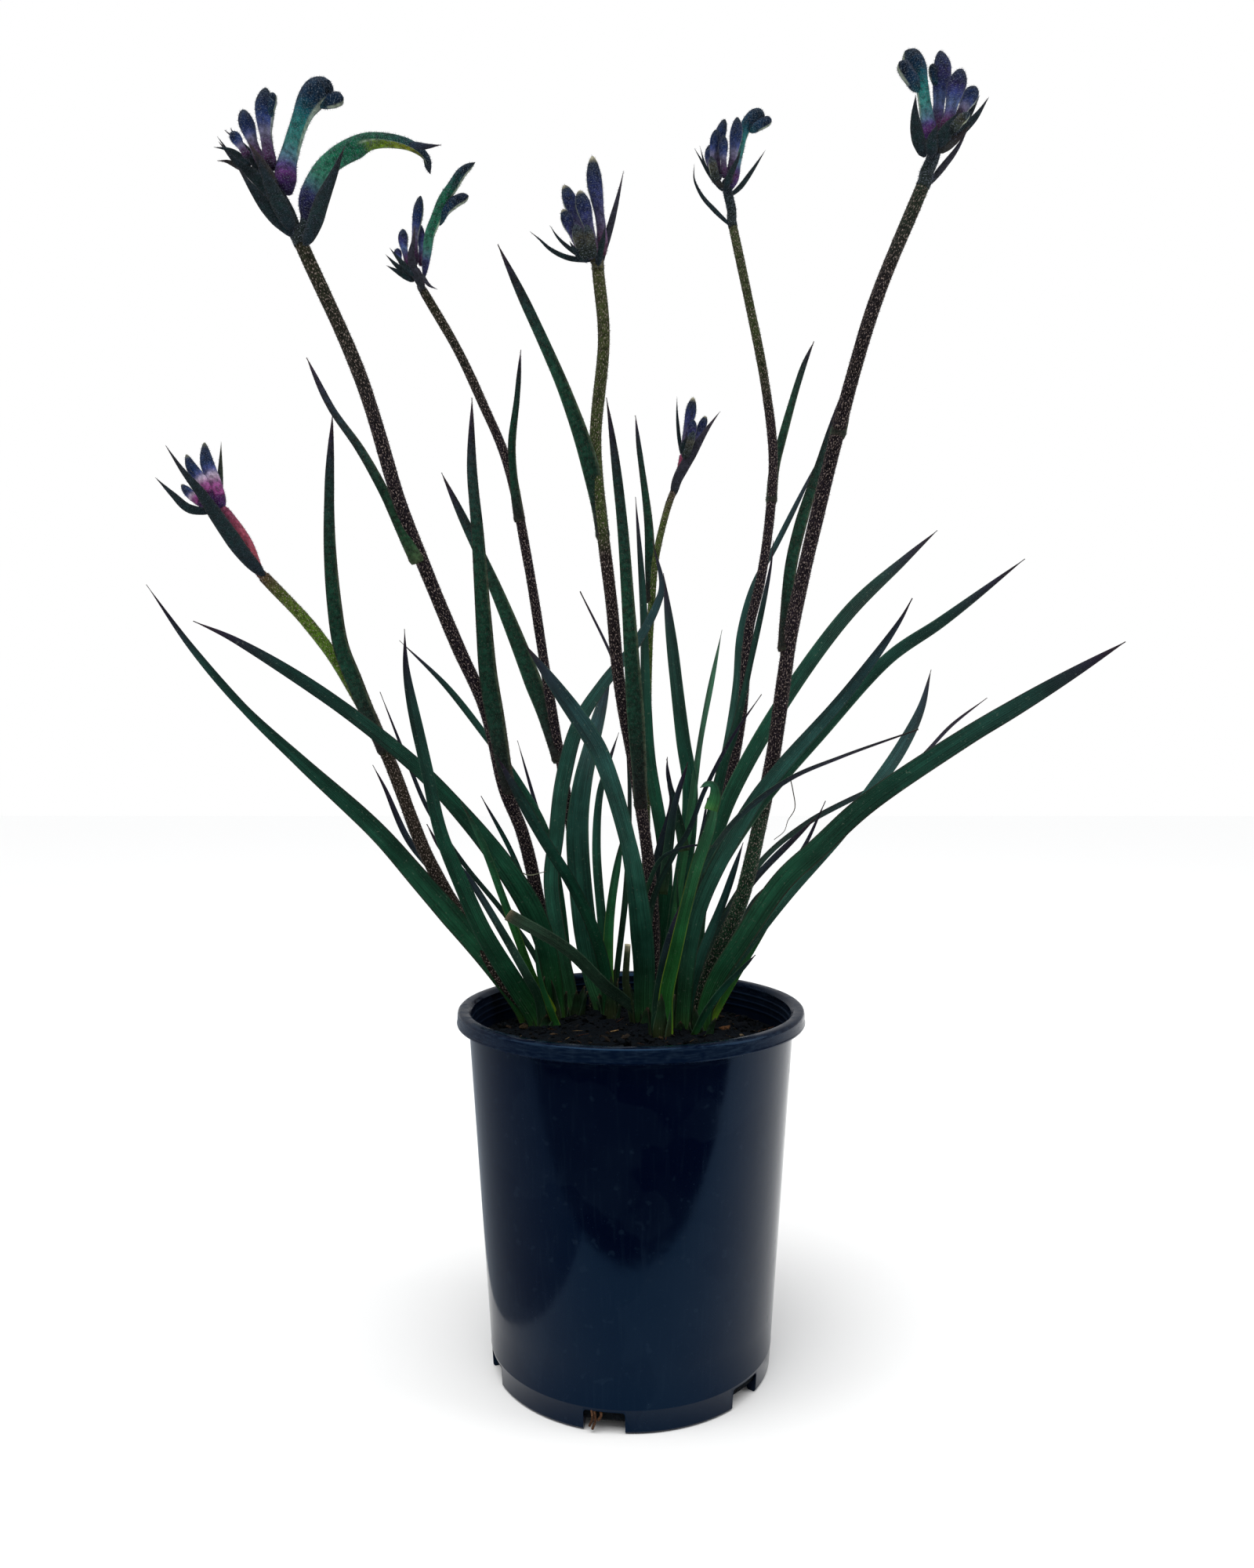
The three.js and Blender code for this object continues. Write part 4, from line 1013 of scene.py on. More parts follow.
@dataclass(frozen=True)
class Down:
    """Short hairs that stand on a piece: thin spikes, so many a square millimetre, that lean up."""

    density: float
    length: Pair
    width: float
    lean: float
    scatter: float = 0.28

    def grow(self, piece: Object, finish: Material, slot: str, seed: int) -> Object:
        """Covers a piece with hairs, as a piece of its own.

        Args:
            piece: What they grow on.
            finish: Their material.
            slot: The record's slot for them.
            seed: Seeds where they stand.

        Returns:
            The hairs.
        """
        random = np.random.default_rng(seed)
        root, normal = self._roots(piece.data, random)
        total = len(root)
        drift = np.array([0.0, 0.0, self.lean]) + random.normal(0, self.scatter, (total, 3))
        direction = unit(normal + drift)
        long = random.uniform(*self.length, total)[:, None] * MM
        side = unit(np.cross(direction, random.normal(0, 1, (total, 3))))
        third = np.cross(direction, side)
        spike = self._spike()
        spots = (
            root[:, None]
            + direction[:, None] * spike[None, :, 2:3] * long[:, None]
            + side[:, None] * spike[None, :, 0:1] * self.width * MM
            + third[:, None] * spike[None, :, 1:2] * self.width * MM
        )
        faces = np.array([(0, 1, 3), (1, 2, 3), (2, 0, 3)])
        faces = (faces[None] + 4 * np.arange(total)[:, None, None]).reshape(-1, 3)
        hairs = bpy.data.meshes.new(piece.name + "_hairs")
        hairs.from_pydata(spots.reshape(-1, 3).tolist(), [], faces.tolist())
        hairs.materials.append(finish)
        coat = link(bpy.data.objects.new(hairs.name, hairs))
        set_in_place(coat, slot)
        return coat

    def _roots(self, mesh: bpy.types.Mesh, random: np.random.Generator) -> tuple[Array, Array]:
        """Strews places evenly over a mesh.

        Args:
            mesh: The mesh.
            random: Where the places are drawn from.

        Returns:
            The places, and which way the mesh faces there.
        """
        mesh.calc_loop_triangles()
        count = len(mesh.loop_triangles)
        corners = np.empty(count * 3, np.int32)
        mesh.loop_triangles.foreach_get("vertices", corners)
        places = np.empty(len(mesh.vertices) * 3, np.float32)
        mesh.vertices.foreach_get("co", places)
        triangles = places.reshape(-1, 3)[corners.reshape(-1, 3)]
        one, two = triangles[:, 1] - triangles[:, 0], triangles[:, 2] - triangles[:, 0]
        cross = np.cross(one, two)
        area = np.linalg.norm(cross, axis=1) / 2
        total = int(area.sum() * SQUARE_METRE * self.density)
        chosen = random.choice(count, total, p=area / area.sum())
        u, v = random.random((2, total))
        over = u + v > 1
        u[over], v[over] = 1 - u[over], 1 - v[over]
        root = triangles[chosen, 0] + one[chosen] * u[:, None] + two[chosen] * v[:, None]
        return root, cross[chosen] / (2 * area[chosen])[:, None]

    @staticmethod
    def _spike() -> Array:
        """Gives the four corners of one spike, half a unit wide and one tall."""
        bm = bmesh.new()
        bmesh.ops.create_cone(bm, segments=3, radius1=0.5, radius2=0, depth=1, cap_ends=False,
                              matrix=Matrix.Translation((0, 0, 0.5)))
        bmesh.ops.remove_doubles(bm, verts=bm.verts, dist=1e-5)
        corners = sorted((tuple(v.co) for v in bm.verts), key=lambda c: c[2])
        bm.free()
        return np.array(corners)


STEM_DOWN = Down(density=0.75, length=(0.5, 1.1), width=0.16, lean=0.5)
PETAL_DOWN = Down(density=1.1, length=(0.5, 1.2), width=0.15, lean=0.25)
# How far the seeds of the hairs on a head are from those on its stem
PETAL_SEED = 50


@dataclass(frozen=True)
class Finishes:
    """The materials that the plant's pieces share."""

    leaf: Material
    stem: Material
    stem_leaf: Material
    petal: Material
    stem_hair: Material
    petal_hair: Material


@dataclass(frozen=True)
class Scape:
    """A flowering shoot: a downy stem with its sheathing leaves, and the head that it carries."""

    name: str
    at: Pair
    route: Route
    width: Pair
    bark: Bark
    leaves: tuple[Leaf, ...]
    head: Head
    basal: tuple[Leaf, ...] = ()
    half: Pair = (0.0, 0.0)
    petal_slot: str = "flower_purple"
    stem_slot: str = "stem_brown"
    row_length: float = 2.6
    around: int = 16
    seed_step: float = 0.6

    def curve(self) -> Curve:
        """Gives the stem's curve from the bottom of its hole to the head."""
        upright = tuple((*self.at, SOIL_TOP + step) for step in (-ROOT_DEPTH, -4, 3))
        return Curve(upright + self.route)

    def build(self, finishes: Finishes, seed: int) -> None:
        """Builds the stem, its hairs, the head and its hairs.

        Args:
            finishes: The materials.
            seed: Seeds the hairs.
        """
        curve = self.curve()
        node = "flower_stem_" + self.name
        downy = add_object(node + "_skin", self._stem(curve, seed).bm, finishes.stem,
                           finishes.stem_leaf)
        set_in_place(downy, self.stem_slot, node)
        STEM_DOWN.grow(downy, finishes.stem_hair, self.stem_slot, seed)
        if self.basal:
            blades = Skin()
            grow_foot(blades, self.at, self.half, seed)
            for number, leaf in enumerate(self.basal):
                leaf.grow(blades, seed + self.seed_step * number)
            piece = add_object(node + "_basal_leaves", blades.bm, finishes.leaf)
            set_in_place(piece, self.stem_slot, node)
        bloom = self.head.build("flower_head_" + self.name, curve, finishes, self.petal_slot)
        PETAL_DOWN.grow(bloom, finishes.petal_hair, self.petal_slot, seed + PETAL_SEED)

    def _stem(self, curve: Curve, seed: int) -> Skin:
        """Makes the grooved stem with its sheathing leaves."""
        skin = Skin()

        def section(f: Array, angle: Array) -> tuple[Array, Array]:
            grooves = 1 + 0.022 * np.cos(5 * angle + 3 * f) + 0.02 * np.sin(f * 60 + 2 * angle)
            radius = taper(self.width, f) / 2 * grooves
            return radius * np.cos(angle), radius * np.sin(angle)

        def tint(f: Array, angle: Array) -> Array:
            drift = 1 + 0.14 * np.sin(f * 17 + seed) + 0.10 * np.sin(2 * angle + f * 11)
            return blend_stops(self.bark.value, f) * drift[:, None]

        rows = np.linspace(0, 1, round(curve.length / self.row_length) + 1)
        skin.sweep(curve, rows, self.around, section, tint)
        for number, leaf in enumerate(self.leaves):
            leaf.sheathe(skin, curve, self.width, seed + number)
        return skin


SCALE_LEAVES = 4
SCALE_LEAF_HEIGHTS = (6, 10, 15, 24)
# The seeds of the scale leaves round a shoot, and how far those round a fan are from them
FOOT_SEED = 900
FAN_SEED = 10


def grow_foot(skin: Skin, at: Pair, half: Pair, seed: int) -> None:
    """Adds the foot of a shoot: short pointed scale leaves that clasp it above the soil.

    Args:
        skin: The piece.
        at: Where it stands.
        half: Half its width and half its depth.
        seed: Varies the scale leaves.
    """
    random = np.random.default_rng(FOOT_SEED + seed)
    middle, reach = np.array(at), np.array(half)
    for number in range(SCALE_LEAVES):
        angle = math.pi * (0.5 * number + 0.4) + random.uniform(-0.5, 0.5)
        out = reach * (math.cos(angle), math.sin(angle))
        tall = random.choice(SCALE_LEAF_HEIGHTS) * random.uniform(0.8, 1.2)
        heights = (-ROOT_DEPTH, -3, 0.45 * tall, tall)
        spread = (0.3, 0.5, 0.7, random.uniform(0.75, 1.25))
        route = tuple((*(middle + out * share), SOIL_TOP + up)
                      for share, up in zip(spread, heights))
        wide = min(13.0, 1.3 * reach[0])
        scale = Leaf(route, (wide, wide, wide * 0.8, wide * 0.42), 0, Sward.SCALE, thickness=1.6,
                     around=12, camber=-0.28, facing=math.degrees(angle) + 90)
        scale.grow(skin, seed + number)


@dataclass(frozen=True)
class Fan:
    """A leaf fan: flat blades that clasp one another at one foot."""

    name: str
    at: Pair
    half: Pair
    leaves: tuple[Leaf, ...]
    seed_step: float = 0.9

    def build(self, finishes: Finishes, seed: int) -> None:
        """Builds the fan.

        Args:
            finishes: The materials.
            seed: Varies its leaves.
        """
        node = "leaf_fan_" + self.name
        skin = Skin()
        grow_foot(skin, self.at, self.half, FAN_SEED + seed)
        for number, leaf in enumerate(self.leaves):
            leaf.grow(skin, seed + self.seed_step * number)
        set_in_place(add_object(node + "_blades", skin.bm, finishes.leaf), "leaf", node)


@dataclass
class Pot:
    """A round nursery pot, moulded in one piece, with a rolled rim and slots round its base."""

    height: float = 204.4
    rim_radius: float = 100.0
    rim_top_width: float = 6.8
    rim_depth: float = 8.2
    neck_radius: float = 93.5
    base_radius: float = 80.3
    wall: float = 1.6
    floor: float = 2.0
    foot_height: float = 2.5
    foot_width: float = 4.8
    pad_radius: float = 32.0
    ridges: int = 3
    ridge_pitch: float = 4.0
    ridge_depth: float = 0.5
    line_height: float = 13.0
    slots: int = 6
    slot_width: float = 22.0
    slot_height: float = 11.5
    slot_reach: float = 14.0
    slot_corner: float = 1.8
    first_slot: float = -10.0
    steps: int = 160
    sharp_from: float = 32.0

    def outer(self, z: float) -> float:
        """Gives the wall's outer radius at a height."""
        rise = z / (self.height - self.rim_depth)
        return self.base_radius + (self.neck_radius - self.base_radius) * rise

    def inner(self, z: float) -> float:
        """Gives the wall's inner radius at a height."""
        return self.outer(z) - self.wall

    def profile(self) -> list[Pair]:
        """Gives the wall's outline as radii and heights, from the middle out, up and back in."""
        top, skirt = self.height, self.height - self.rim_depth
        floor_top = self.foot_height + self.floor
        base, line, rim, wall = self.base_radius, self.line_height, self.rim_radius, self.wall
        # Underside with its pad and foot ring, then the wall's foot and the raised line on it
        outline = [
            (0, 0), (self.pad_radius, 0), (self.pad_radius + self.foot_height, self.foot_height),
            (base - self.foot_width - 1, self.foot_height), (base - self.foot_width, 0),
            (base - 1.6, 0), (base - 0.6, 0.35), (self.outer(1.3), 1.3),
            (self.outer(line - 0.5), line - 0.5), (self.outer(line) + 0.18, line - 0.1),
            (self.outer(line) + 0.18, line + 0.3), (self.outer(line + 0.8), line + 0.8),
        ]
        outline += [(self.outer(z), z) for z in np.linspace(line + 20, skirt - 12, 8)]
        # Under the flat ring at the rim, round the band, and in over the top
        outline += [
            (self.outer(top - wall), top - wall), (rim - wall, top - wall),
            (rim - wall, skirt + 0.4), (rim - 0.5, skirt - 0.1), (rim + 0.1, skirt + 0.2),
            (rim + 0.3, skirt + 0.9), (rim, skirt + 1.8), (rim - 0.1, top - 2.4),
            (rim - 0.4, top - 1.1), (rim - 1.1, top - 0.35), (rim - 2.2, top),
            (rim - self.rim_top_width + 1.4, top - 0.1),
            (rim - self.rim_top_width + 0.4, top - 0.7), (self.inner(top - 2.4), top - 2.4),
        ]
        for ridge in range(1, self.ridges + 1):
            z = top - 3 - ridge * self.ridge_pitch
            outline += [(self.inner(z + 0.9), z + 0.9), (self.inner(z) - self.ridge_depth, z + 0.3),
                        (self.inner(z) - self.ridge_depth, z - 0.3), (self.inner(z - 0.9), z - 0.9)]
        outline += [(self.inner(z), z) for z in (170, 120, 60, floor_top + 2)]
        outline += [(self.inner(floor_top) - 2, floor_top), (0, floor_top)]
        return outline

    def build(self) -> Object:
        """Spins the wall, cuts the slots and sets the pot in place.

        Returns:
            The pot.
        """
        bm = bmesh.new()
        lathe(bm, self.profile(), self.steps)
        bmesh.ops.recalc_face_normals(bm, faces=bm.faces)
        for face in bm.faces:
            face.smooth = True
        pot = add_object("pot_body", bm, PotPlastic().material())
        cutter = self._slot_cutter()
        cut = pot.modifiers.new("slots", "BOOLEAN")
        cut.operation, cut.solver, cut.object = "DIFFERENCE", "EXACT", cutter
        graph = bpy.context.evaluated_depsgraph_get()
        whole = bpy.data.meshes.new_from_object(pot.evaluated_get(graph))
        pot.modifiers.clear()
        pot.data = whole
        bpy.data.objects.remove(cutter)
        whole.set_sharp_from_angle(angle=math.radians(self.sharp_from))
        set_in_place(pot, "pot", "pot")
        return pot

    def _slot_cutter(self) -> Object:
        """Makes the blocks that cut the slots, with rounded corners."""
        bm = bmesh.new()
        size = (self.slot_width * MM, 2 * self.slot_reach * MM, 2 * self.slot_height * MM, 1)
        place = Matrix.Translation((0, -self.base_radius * MM, 0))
        for number in range(self.slots):
            angle = math.radians(self.first_slot + number * 360 / self.slots)
            matrix = Matrix.Rotation(angle, 4, "Z") @ place @ Matrix.Diagonal(size)
            made = bmesh.ops.create_cube(bm, size=1, matrix=matrix)
            radial = [e for e in {e for v in made["verts"] for e in v.link_edges}
                      if e.calc_length() > 1.9 * self.slot_reach * MM]
            bmesh.ops.bevel(bm, geom=radial, offset=self.slot_corner * MM, segments=4, profile=0.5,
                            material=-1, affect="EDGES")
        return add_object("slot_cutter", bm)


@dataclass(frozen=True)
class Chip:
    """A piece of bark on the mix: its place, length, width, turn in degrees, and colour."""

    x: float
    y: float
    length: float
    width: float
    turn: float
    color: str


# The colours of crumbs, each with its share
CRUMBS = (("#04080d", 0.34), ("#070b11", 0.3), ("#0b1015", 0.21), ("#151413", 0.1),
          ("#241e18", 0.033), ("#3a2f20", 0.012), ("#5c5040", 0.005))


@dataclass
class PottingMix:
    """Composted bark that fills the pot, with a crumbly top, chips and fibres."""

    pot: Pot
    bark: tuple[Chip, ...]
    top: float = 187.0
    dip: float = 3.0
    heap: Pair = (45.0, 90.0)
    # Unevenness of the top, as sizes across and heights
    lumps: Profile = ((9.0, 1.5), (3.6, 1.2), (1.6, 0.7))
    gap: float = 0.35
    steps: int = 220
    rings: int = 62
    crumbs: int = 1300
    crumb_size: Pair = (0.9, 2.6)
    # One crumb in so many is a large one
    large_every: int = 12
    large_size: Pair = (3.0, 6.0)
    fibres: int = 60
    fibre_length: Pair = (5.0, 13.0)
    fibre_width: float = 0.5
    # Roots in the front slot, as places from side to side and lengths, and where they come out
    roots: Profile = ((-20.5, 8.0), (-19.0, 9.5), (-16.0, 5.0))
    root_out: float = 77.5
    root_height: float = 12.0
    damp: str = "#04090f"
    root_color: str = "#4a3324"
    fibre_colors: tuple[str, str] = ("#3a2418", "#54452f")
    seed: int = 7

    def height(self, x: float, y: float) -> float:
        """Gives the height of the top at a place, in millimetres."""
        r = math.hypot(x, y)
        fall = float(ease(np.array([r]), *self.heap)[0]) * self.dip
        spot = Vector((x, y, 0))
        return self.top - fall + sum(noise.noise(spot / size) * up for size, up in self.lumps)

    def build(self) -> Object:
        """Builds the fill with its top, chips and fibres, and sets it in place.

        Returns:
            The fill.
        """
        floor = self.pot.foot_height + self.pot.floor + self.gap
        rim = self.top - self.dip
        edge = self.pot.inner(rim) - self.gap
        outline = [(0, floor), (self.pot.inner(floor) - self.gap - 2, floor),
                   (self.pot.inner(floor + 2) - self.gap, floor + 2),
                   (self.pot.inner(30) - self.gap, 30), (edge, rim - 0.5)]
        outline += [(r, rim) for r in np.linspace(edge, 0, self.rings + 1)]
        bm = bmesh.new()
        tint = bm.verts.layers.float_color.new("tint")
        lathe(bm, outline, self.steps)
        damp = linear(self.damp)
        for vert in bm.verts:
            vert[tint] = damp
            if vert.co.z > (rim - 0.2) * MM:
                x, y = vert.co.x / MM, vert.co.y / MM
                calm = float(ease(np.array([math.hypot(x, y)]), edge - 1.5, edge)[0])
                vert.co.z = (self.height(x, y) * (1 - calm) + (rim - 0.4) * calm) * MM
        bmesh.ops.recalc_face_normals(bm, faces=bm.faces)
        self._litter(bm, tint, edge)
        piece = add_object("potting_mix_fill", bm, SoilFinish().material())
        set_in_place(piece, "potting_mix", "potting_mix")
        return piece

    def _litter(self, bm: Mesh, tint: Layer, edge: float) -> None:
        """Strews the top with crumbs, bark and fibres, each with its lower part pressed in."""
        random = np.random.default_rng(self.seed)
        colors, shares = zip(*CRUMBS)

        def drop(chip: Chip, thick: float, tilt: float) -> None:
            # A chip lies nearly flat, tilted by up to so many radians
            turn = Euler((*random.uniform(-tilt, tilt, 2), math.radians(chip.turn))).to_matrix()
            shape = Matrix.Diagonal((chip.length, chip.width, thick))
            spot = Vector((chip.x, chip.y, self.height(chip.x, chip.y) + 0.3 * thick))
            matrix = Matrix.Translation(spot * MM) @ ((turn @ shape) * MM).to_4x4()
            made = bmesh.ops.create_icosphere(bm, subdivisions=1, radius=0.5, matrix=matrix)
            for vert in made["verts"]:
                # Crumbs are uneven, so each corner moves a little
                vert.co += Vector(random.normal(0, 0.08 * chip.width, 3).tolist()) * MM
                vert[tint] = linear(chip.color)

        def place() -> Pair:
            r, angle = edge * 0.97 * math.sqrt(random.random()), random.uniform(0, 2 * math.pi)
            return r * math.cos(angle), r * math.sin(angle)

        for number in range(self.crumbs):
            size = random.uniform(*(self.crumb_size if number % self.large_every
                                    else self.large_size))
            color = colors[random.choice(len(colors), p=shares)]
            chip = Chip(*place(), size * random.uniform(0.9, 1.9), size, random.uniform(0, 360),
                        color)
            drop(chip, size * random.uniform(0.35, 0.8), 0.6)
        for _ in range(self.fibres):
            color = self.fibre_colors[0 if random.random() < 0.6 else 1]
            chip = Chip(*place(), random.uniform(*self.fibre_length), self.fibre_width,
                        random.uniform(0, 360), color)
            drop(chip, self.fibre_width, 0.12)
        for chip in self.bark:
            drop(chip, min(3.0, chip.width * 0.6), 0.15)
        out, high = -self.root_out, self.root_height
        for x, long in self.roots:
            route = ((x, out, high), (x + 0.6, out - 2, high - long / 2),
                     (x - 0.8, out - 1.5, high - long))
            self._root(bm, tint, Curve(route))

    def _root(self, bm: Mesh, tint: Layer, curve: Curve) -> None:
        """Hangs a root end in a slot, as a chain of short knots along its curve."""
        for spot in curve.points[::4]:
            matrix = Matrix.Translation(Vector(spot) * MM)
            made = bmesh.ops.create_icosphere(bm, subdivisions=1, radius=0.8 * MM, matrix=matrix)
            for vert in made["verts"]:
                vert[tint] = linear(self.root_color)


@dataclass
class Studio:
    """A plain pale floor, soft light and the camera, in metres."""

    distance: float = 0.6332
    eye: float = 0.3469
    pitch: float = 0.023
    focal_pixels: float = 1393.0
    column: float = 805.2
    image: tuple[int, int] = (1600, 2000)
    fill: float = 0.42
    room_light: str = "#fbfcff"
    room_seen: str = "#ffffff"
    softbox_size: Pair = (1.0, 1.6)
    middle: Point = (0.0, 0.0, 0.35)
    floor_reach: float = 6.0
    card_height: float = 0.0005
    # Where the black card, in front, meets the grey one
    card_line: float = -0.225

    def build(self) -> None:
        """Sets the floor, the cards, the lights and the camera."""
        reach, line = self.floor_reach, self.card_line
        self._sheet(StudioPaper("studio_paper_pale", "#f7f7f6", 0.7), "studio_floor",
                    (-reach, -reach), (reach, reach), 0)
        for name, color, near, far in (
            ("card_black", "#0c0c0c", (-3.0, -5.0), (3.0, line)),
            ("card_grey", "#8e969f", (-3.0, line), (-0.13, 2.5)),
        ):
            card = self._sheet(StudioPaper(name, color), name, near, far, self.card_height)
            card.visible_camera = card.visible_diffuse = card.visible_shadow = False
        self._world()
        self._softbox("softbox_left", (-1.6, -0.5, 1.6), 8)
        self._softbox("softbox_right", (1.7, -0.3, 1.4), 13)
        self._overhead("skylight_soft", (0.25, -0.12), 2.3, 50)
        self._camera()

    def _sheet(self, finish: StudioPaper, name: str, near: Pair, far: Pair, up: float) -> Object:
        """Lays a sheet of paper or card.

        Args:
            finish: What it is made of.
            name: Its name.
            near: Its corner at the near left.
            far: Its corner at the far right.
            up: How high it lies.

        Returns:
            The sheet.
        """
        one, two = Vector((*near, up)), Vector((*far, up))
        half = (two - one) / 2
        bm = bmesh.new()
        matrix = Matrix.Translation(one + half) @ Matrix.Diagonal((half.x, half.y, 1, 1))
        bmesh.ops.create_grid(bm, x_segments=1, y_segments=1, size=1, matrix=matrix)
        sheet = add_object(name, bm, finish.material())
        return sheet

    def _world(self) -> None:
        """Fills the room with even dim light, and shows it white."""
        world = bpy.data.worlds.new("studio_room")
        world.use_nodes = True
        tree = world.node_tree
        tree.nodes.clear()
        lit = add_node(tree, "Background",
                       {"Color": linear(self.room_light), "Strength": self.fill})
        seen = add_node(tree, "Background", {"Color": linear(self.room_seen), "Strength": 1.0})
        path = add_node(tree, "LightPath")
        room = add_node(tree, "MixShader", {0: path.outputs["Is Camera Ray"], 1: lit.outputs[0],
                                            2: seen.outputs[0]})
        add_node(tree, "OutputWorld", {"Surface": room.outputs[0]})
        bpy.context.scene.world = world

    def _softbox(self, name: str, place: Point, power: float) -> None:
        """Hangs a soft box that faces the middle of the plant.

        Args:
            name: Its name.
            place: Where it hangs.
            power: Its power in watts.
        """
        light = bpy.data.lights.new(name, "AREA")
        light.shape, light.energy = "RECTANGLE", power
        light.size, light.size_y = self.softbox_size
        lamp = link(bpy.data.objects.new(name, light))
        lamp.location = place
        aim = Vector(self.middle) - Vector(place)
        lamp.rotation_euler = aim.to_track_quat("-Z", "Y").to_euler()

    def _overhead(self, name: str, lean: Pair, strength: float, spread: float) -> None:
        """Lights the floor evenly from above, as a wide overcast sky does.

        Args:
            name: Its name.
            lean: How far it leans about X and Y, in radians.
            strength: Its strength in watts a square metre.
            spread: How wide it looks from the floor, in degrees.
        """
        light = bpy.data.lights.new(name, "SUN")
        light.energy, light.angle = strength, math.radians(spread)
        lamp = link(bpy.data.objects.new(name, light))
        lamp.rotation_euler = (*lean, 0)

    def _camera(self) -> None:
        """Stands the camera where the photograph was taken from."""
        data = bpy.data.cameras.new("studio_camera")
        data.sensor_width = 36.0
        data.lens = self.focal_pixels / max(self.image) * data.sensor_width
        data.shift_x = -(self.column - self.image[0] / 2) / max(self.image)
        data.clip_start, data.clip_end = 0.01, 50
        camera = link(bpy.data.objects.new("studio_camera", data))
        camera.location = (0, -self.distance, self.eye)
        camera.rotation_euler = (math.pi / 2 - self.pitch, 0, 0)
        bpy.context.scene.camera = camera


# Routes and sizes of the shoots and fans. A head's routes start from the end of its stem.

HEAD_1 = Head(
    Stalk.INK, axis=((-3, 0, 6), (-7, 0, 17), (-13, -1, 29), (-17, -1, 38)), girth=(7.8, 4.6),
    fork=((0, 0, 3), (2, -1, 8), (3, -2, 17)),
    flowers=(
        Flower(Stage.CLOSED, ((-7, 0, 26), (-8, 0, 36), (-5, 1, 50), (-1, 1, 62), (3, 1, 71),
               (8, 1, 77), (12, 2, 79), (15, 2, 77)), 9.2, Bloom.TEAL),
        Flower(Stage.LOBE, ((8, 1, 71), (12, 2, 73), (16, 2, 74), (21, 3, 76)), 7, Bloom.CAP),
        Flower(Stage.OPEN, ((3, -2, 11), (4, -3, 23), (10, -3, 34), (17, -4, 40), (25, -4, 45),
               (35, -5, 48), (47, -5, 48), (57, -6, 45), (64, -6, 40), (67, -7, 32)), 9.8,
               Bloom.GREEN),
        Flower(Stage.CLUB, ((-15, -2, 37), (-16, -3, 47), (-17, -4, 57), (-17, -4, 67),
               (-16, -5, 76)), 9.6, Bloom.NAVY),
        Flower(Stage.LOBE, ((-15, -5, 60), (-13, -6, 67), (-12, -6, 73)), 4.6, Bloom.CAP),
        Flower(Stage.CLUB, ((-21, 4, 43), (-25, 5, 51), (-29, 6, 62), (-32, 7, 72)), 8.2,
               Bloom.NAVY),
        Flower(Stage.CLUB, ((-25, -6, 41), (-29, -8, 47), (-32, -9, 52)), 6, Bloom.NAVY),
    ),
    lobes=(
        Scale(((57, -9, 46), (65, -12, 43), (74, -15, 42)), 3.8, Husk.INDIGO),
    ),
    bracts=(
        Scale(((-10, 5, 21), (-21, 7, 39), (-34, 9, 56), (-43, 11, 64)), 7.2),
        Scale(((-9, 0, 19), (-23, 0, 34), (-34, 0, 43), (-42, 0, 52)), 7.2),
        Scale(((-11, 3, 17), (-23, 4, 33), (-35, 5, 45), (-45, 6, 58)), 4.8),
        Scale(((-2, -3, 3), (-14, -5, 14), (-22, -8, 24), (-29, -10, 34)), 7.6),
        Scale(((3, -6, -3), (8, -9, 4), (14, -12, 17), (21, -15, 29), (27, -18, 40)), 8.4),
        Scale(((-3, -5, 5), (-10, -8, 19), (-16, -10, 32), (-20, -13, 40)), 8.8),
        Scale(((-11, -6, 23), (-16, -10, 34), (-22, -14, 44)), 6.4, Husk.UMBER),
        Scale(((-27, 8, 46), (-36, 11, 58), (-41, 14, 67)), 4),
        Scale(((-25, -2, 39), (-35, -3, 46), (-43, -4, 47)), 3.5),
        Scale(((-28, 2, 38), (-38, 2, 43), (-44, 3, 44)), 3.2, Husk.UMBER),
    ),
)

HEAD_2 = Head(
    Stalk.PLUM, axis=((-2, 0, 6), (-4, 0, 12), (-6, 0, 15)), girth=(5.2, 4.2),
    flowers=(
        Flower(Stage.LOBE, ((0, -2, 7), (2, -2, 22), (4, -3, 34), (8, -3, 44), (13, -4, 55),
               (19, -4, 64), (25, -5, 72), (33, -5, 78)), 6.8, Bloom.GREEN),
        Flower(Stage.LOBE, ((10, -1, 41), (13, -3, 48), (20, -4, 54), (29, -6, 57)), 6.6,
               Bloom.CAP),
        Flower(Stage.CLUB, ((-6, 1, 18), (-6, 1, 33), (-4, 0, 47), (-2, 0, 60)), 6.6, Bloom.NAVY),
        Flower(Stage.CLUB, ((-3, 5, 19), (-3, 6, 33), (-4, 8, 46)), 5.4, Bloom.PLUM),
        Flower(Stage.CLUB, ((-9, -3, 16), (-12, -4, 27), (-12, -5, 37)), 6.4, Bloom.PLUM),
        Flower(Stage.CLUB, ((-14, 4, 18), (-17, 5, 24), (-18, 6, 30)), 5, Bloom.PLUM),
    ),
    bracts=(
        Scale(((-5, -4, 8), (-13, -6, 16), (-20, -8, 24)), 3.8),
        Scale(((-7, 2, 10), (-17, 2, 17), (-25, 3, 25)), 3.8),
        Scale(((-6, -2, 6), (-15, -3, 11), (-23, -4, 15)), 4.3),
        Scale(((0, -3, 1), (-4, -4, 8), (-7, -6, 19), (-5, -8, 29), (-4, -9, 37)), 5.6, Husk.GREY),
        Scale(((-1, -3, 10), (4, -6, 2), (10, -9, -2)), 2.6, Husk.GREY),
    ),
)

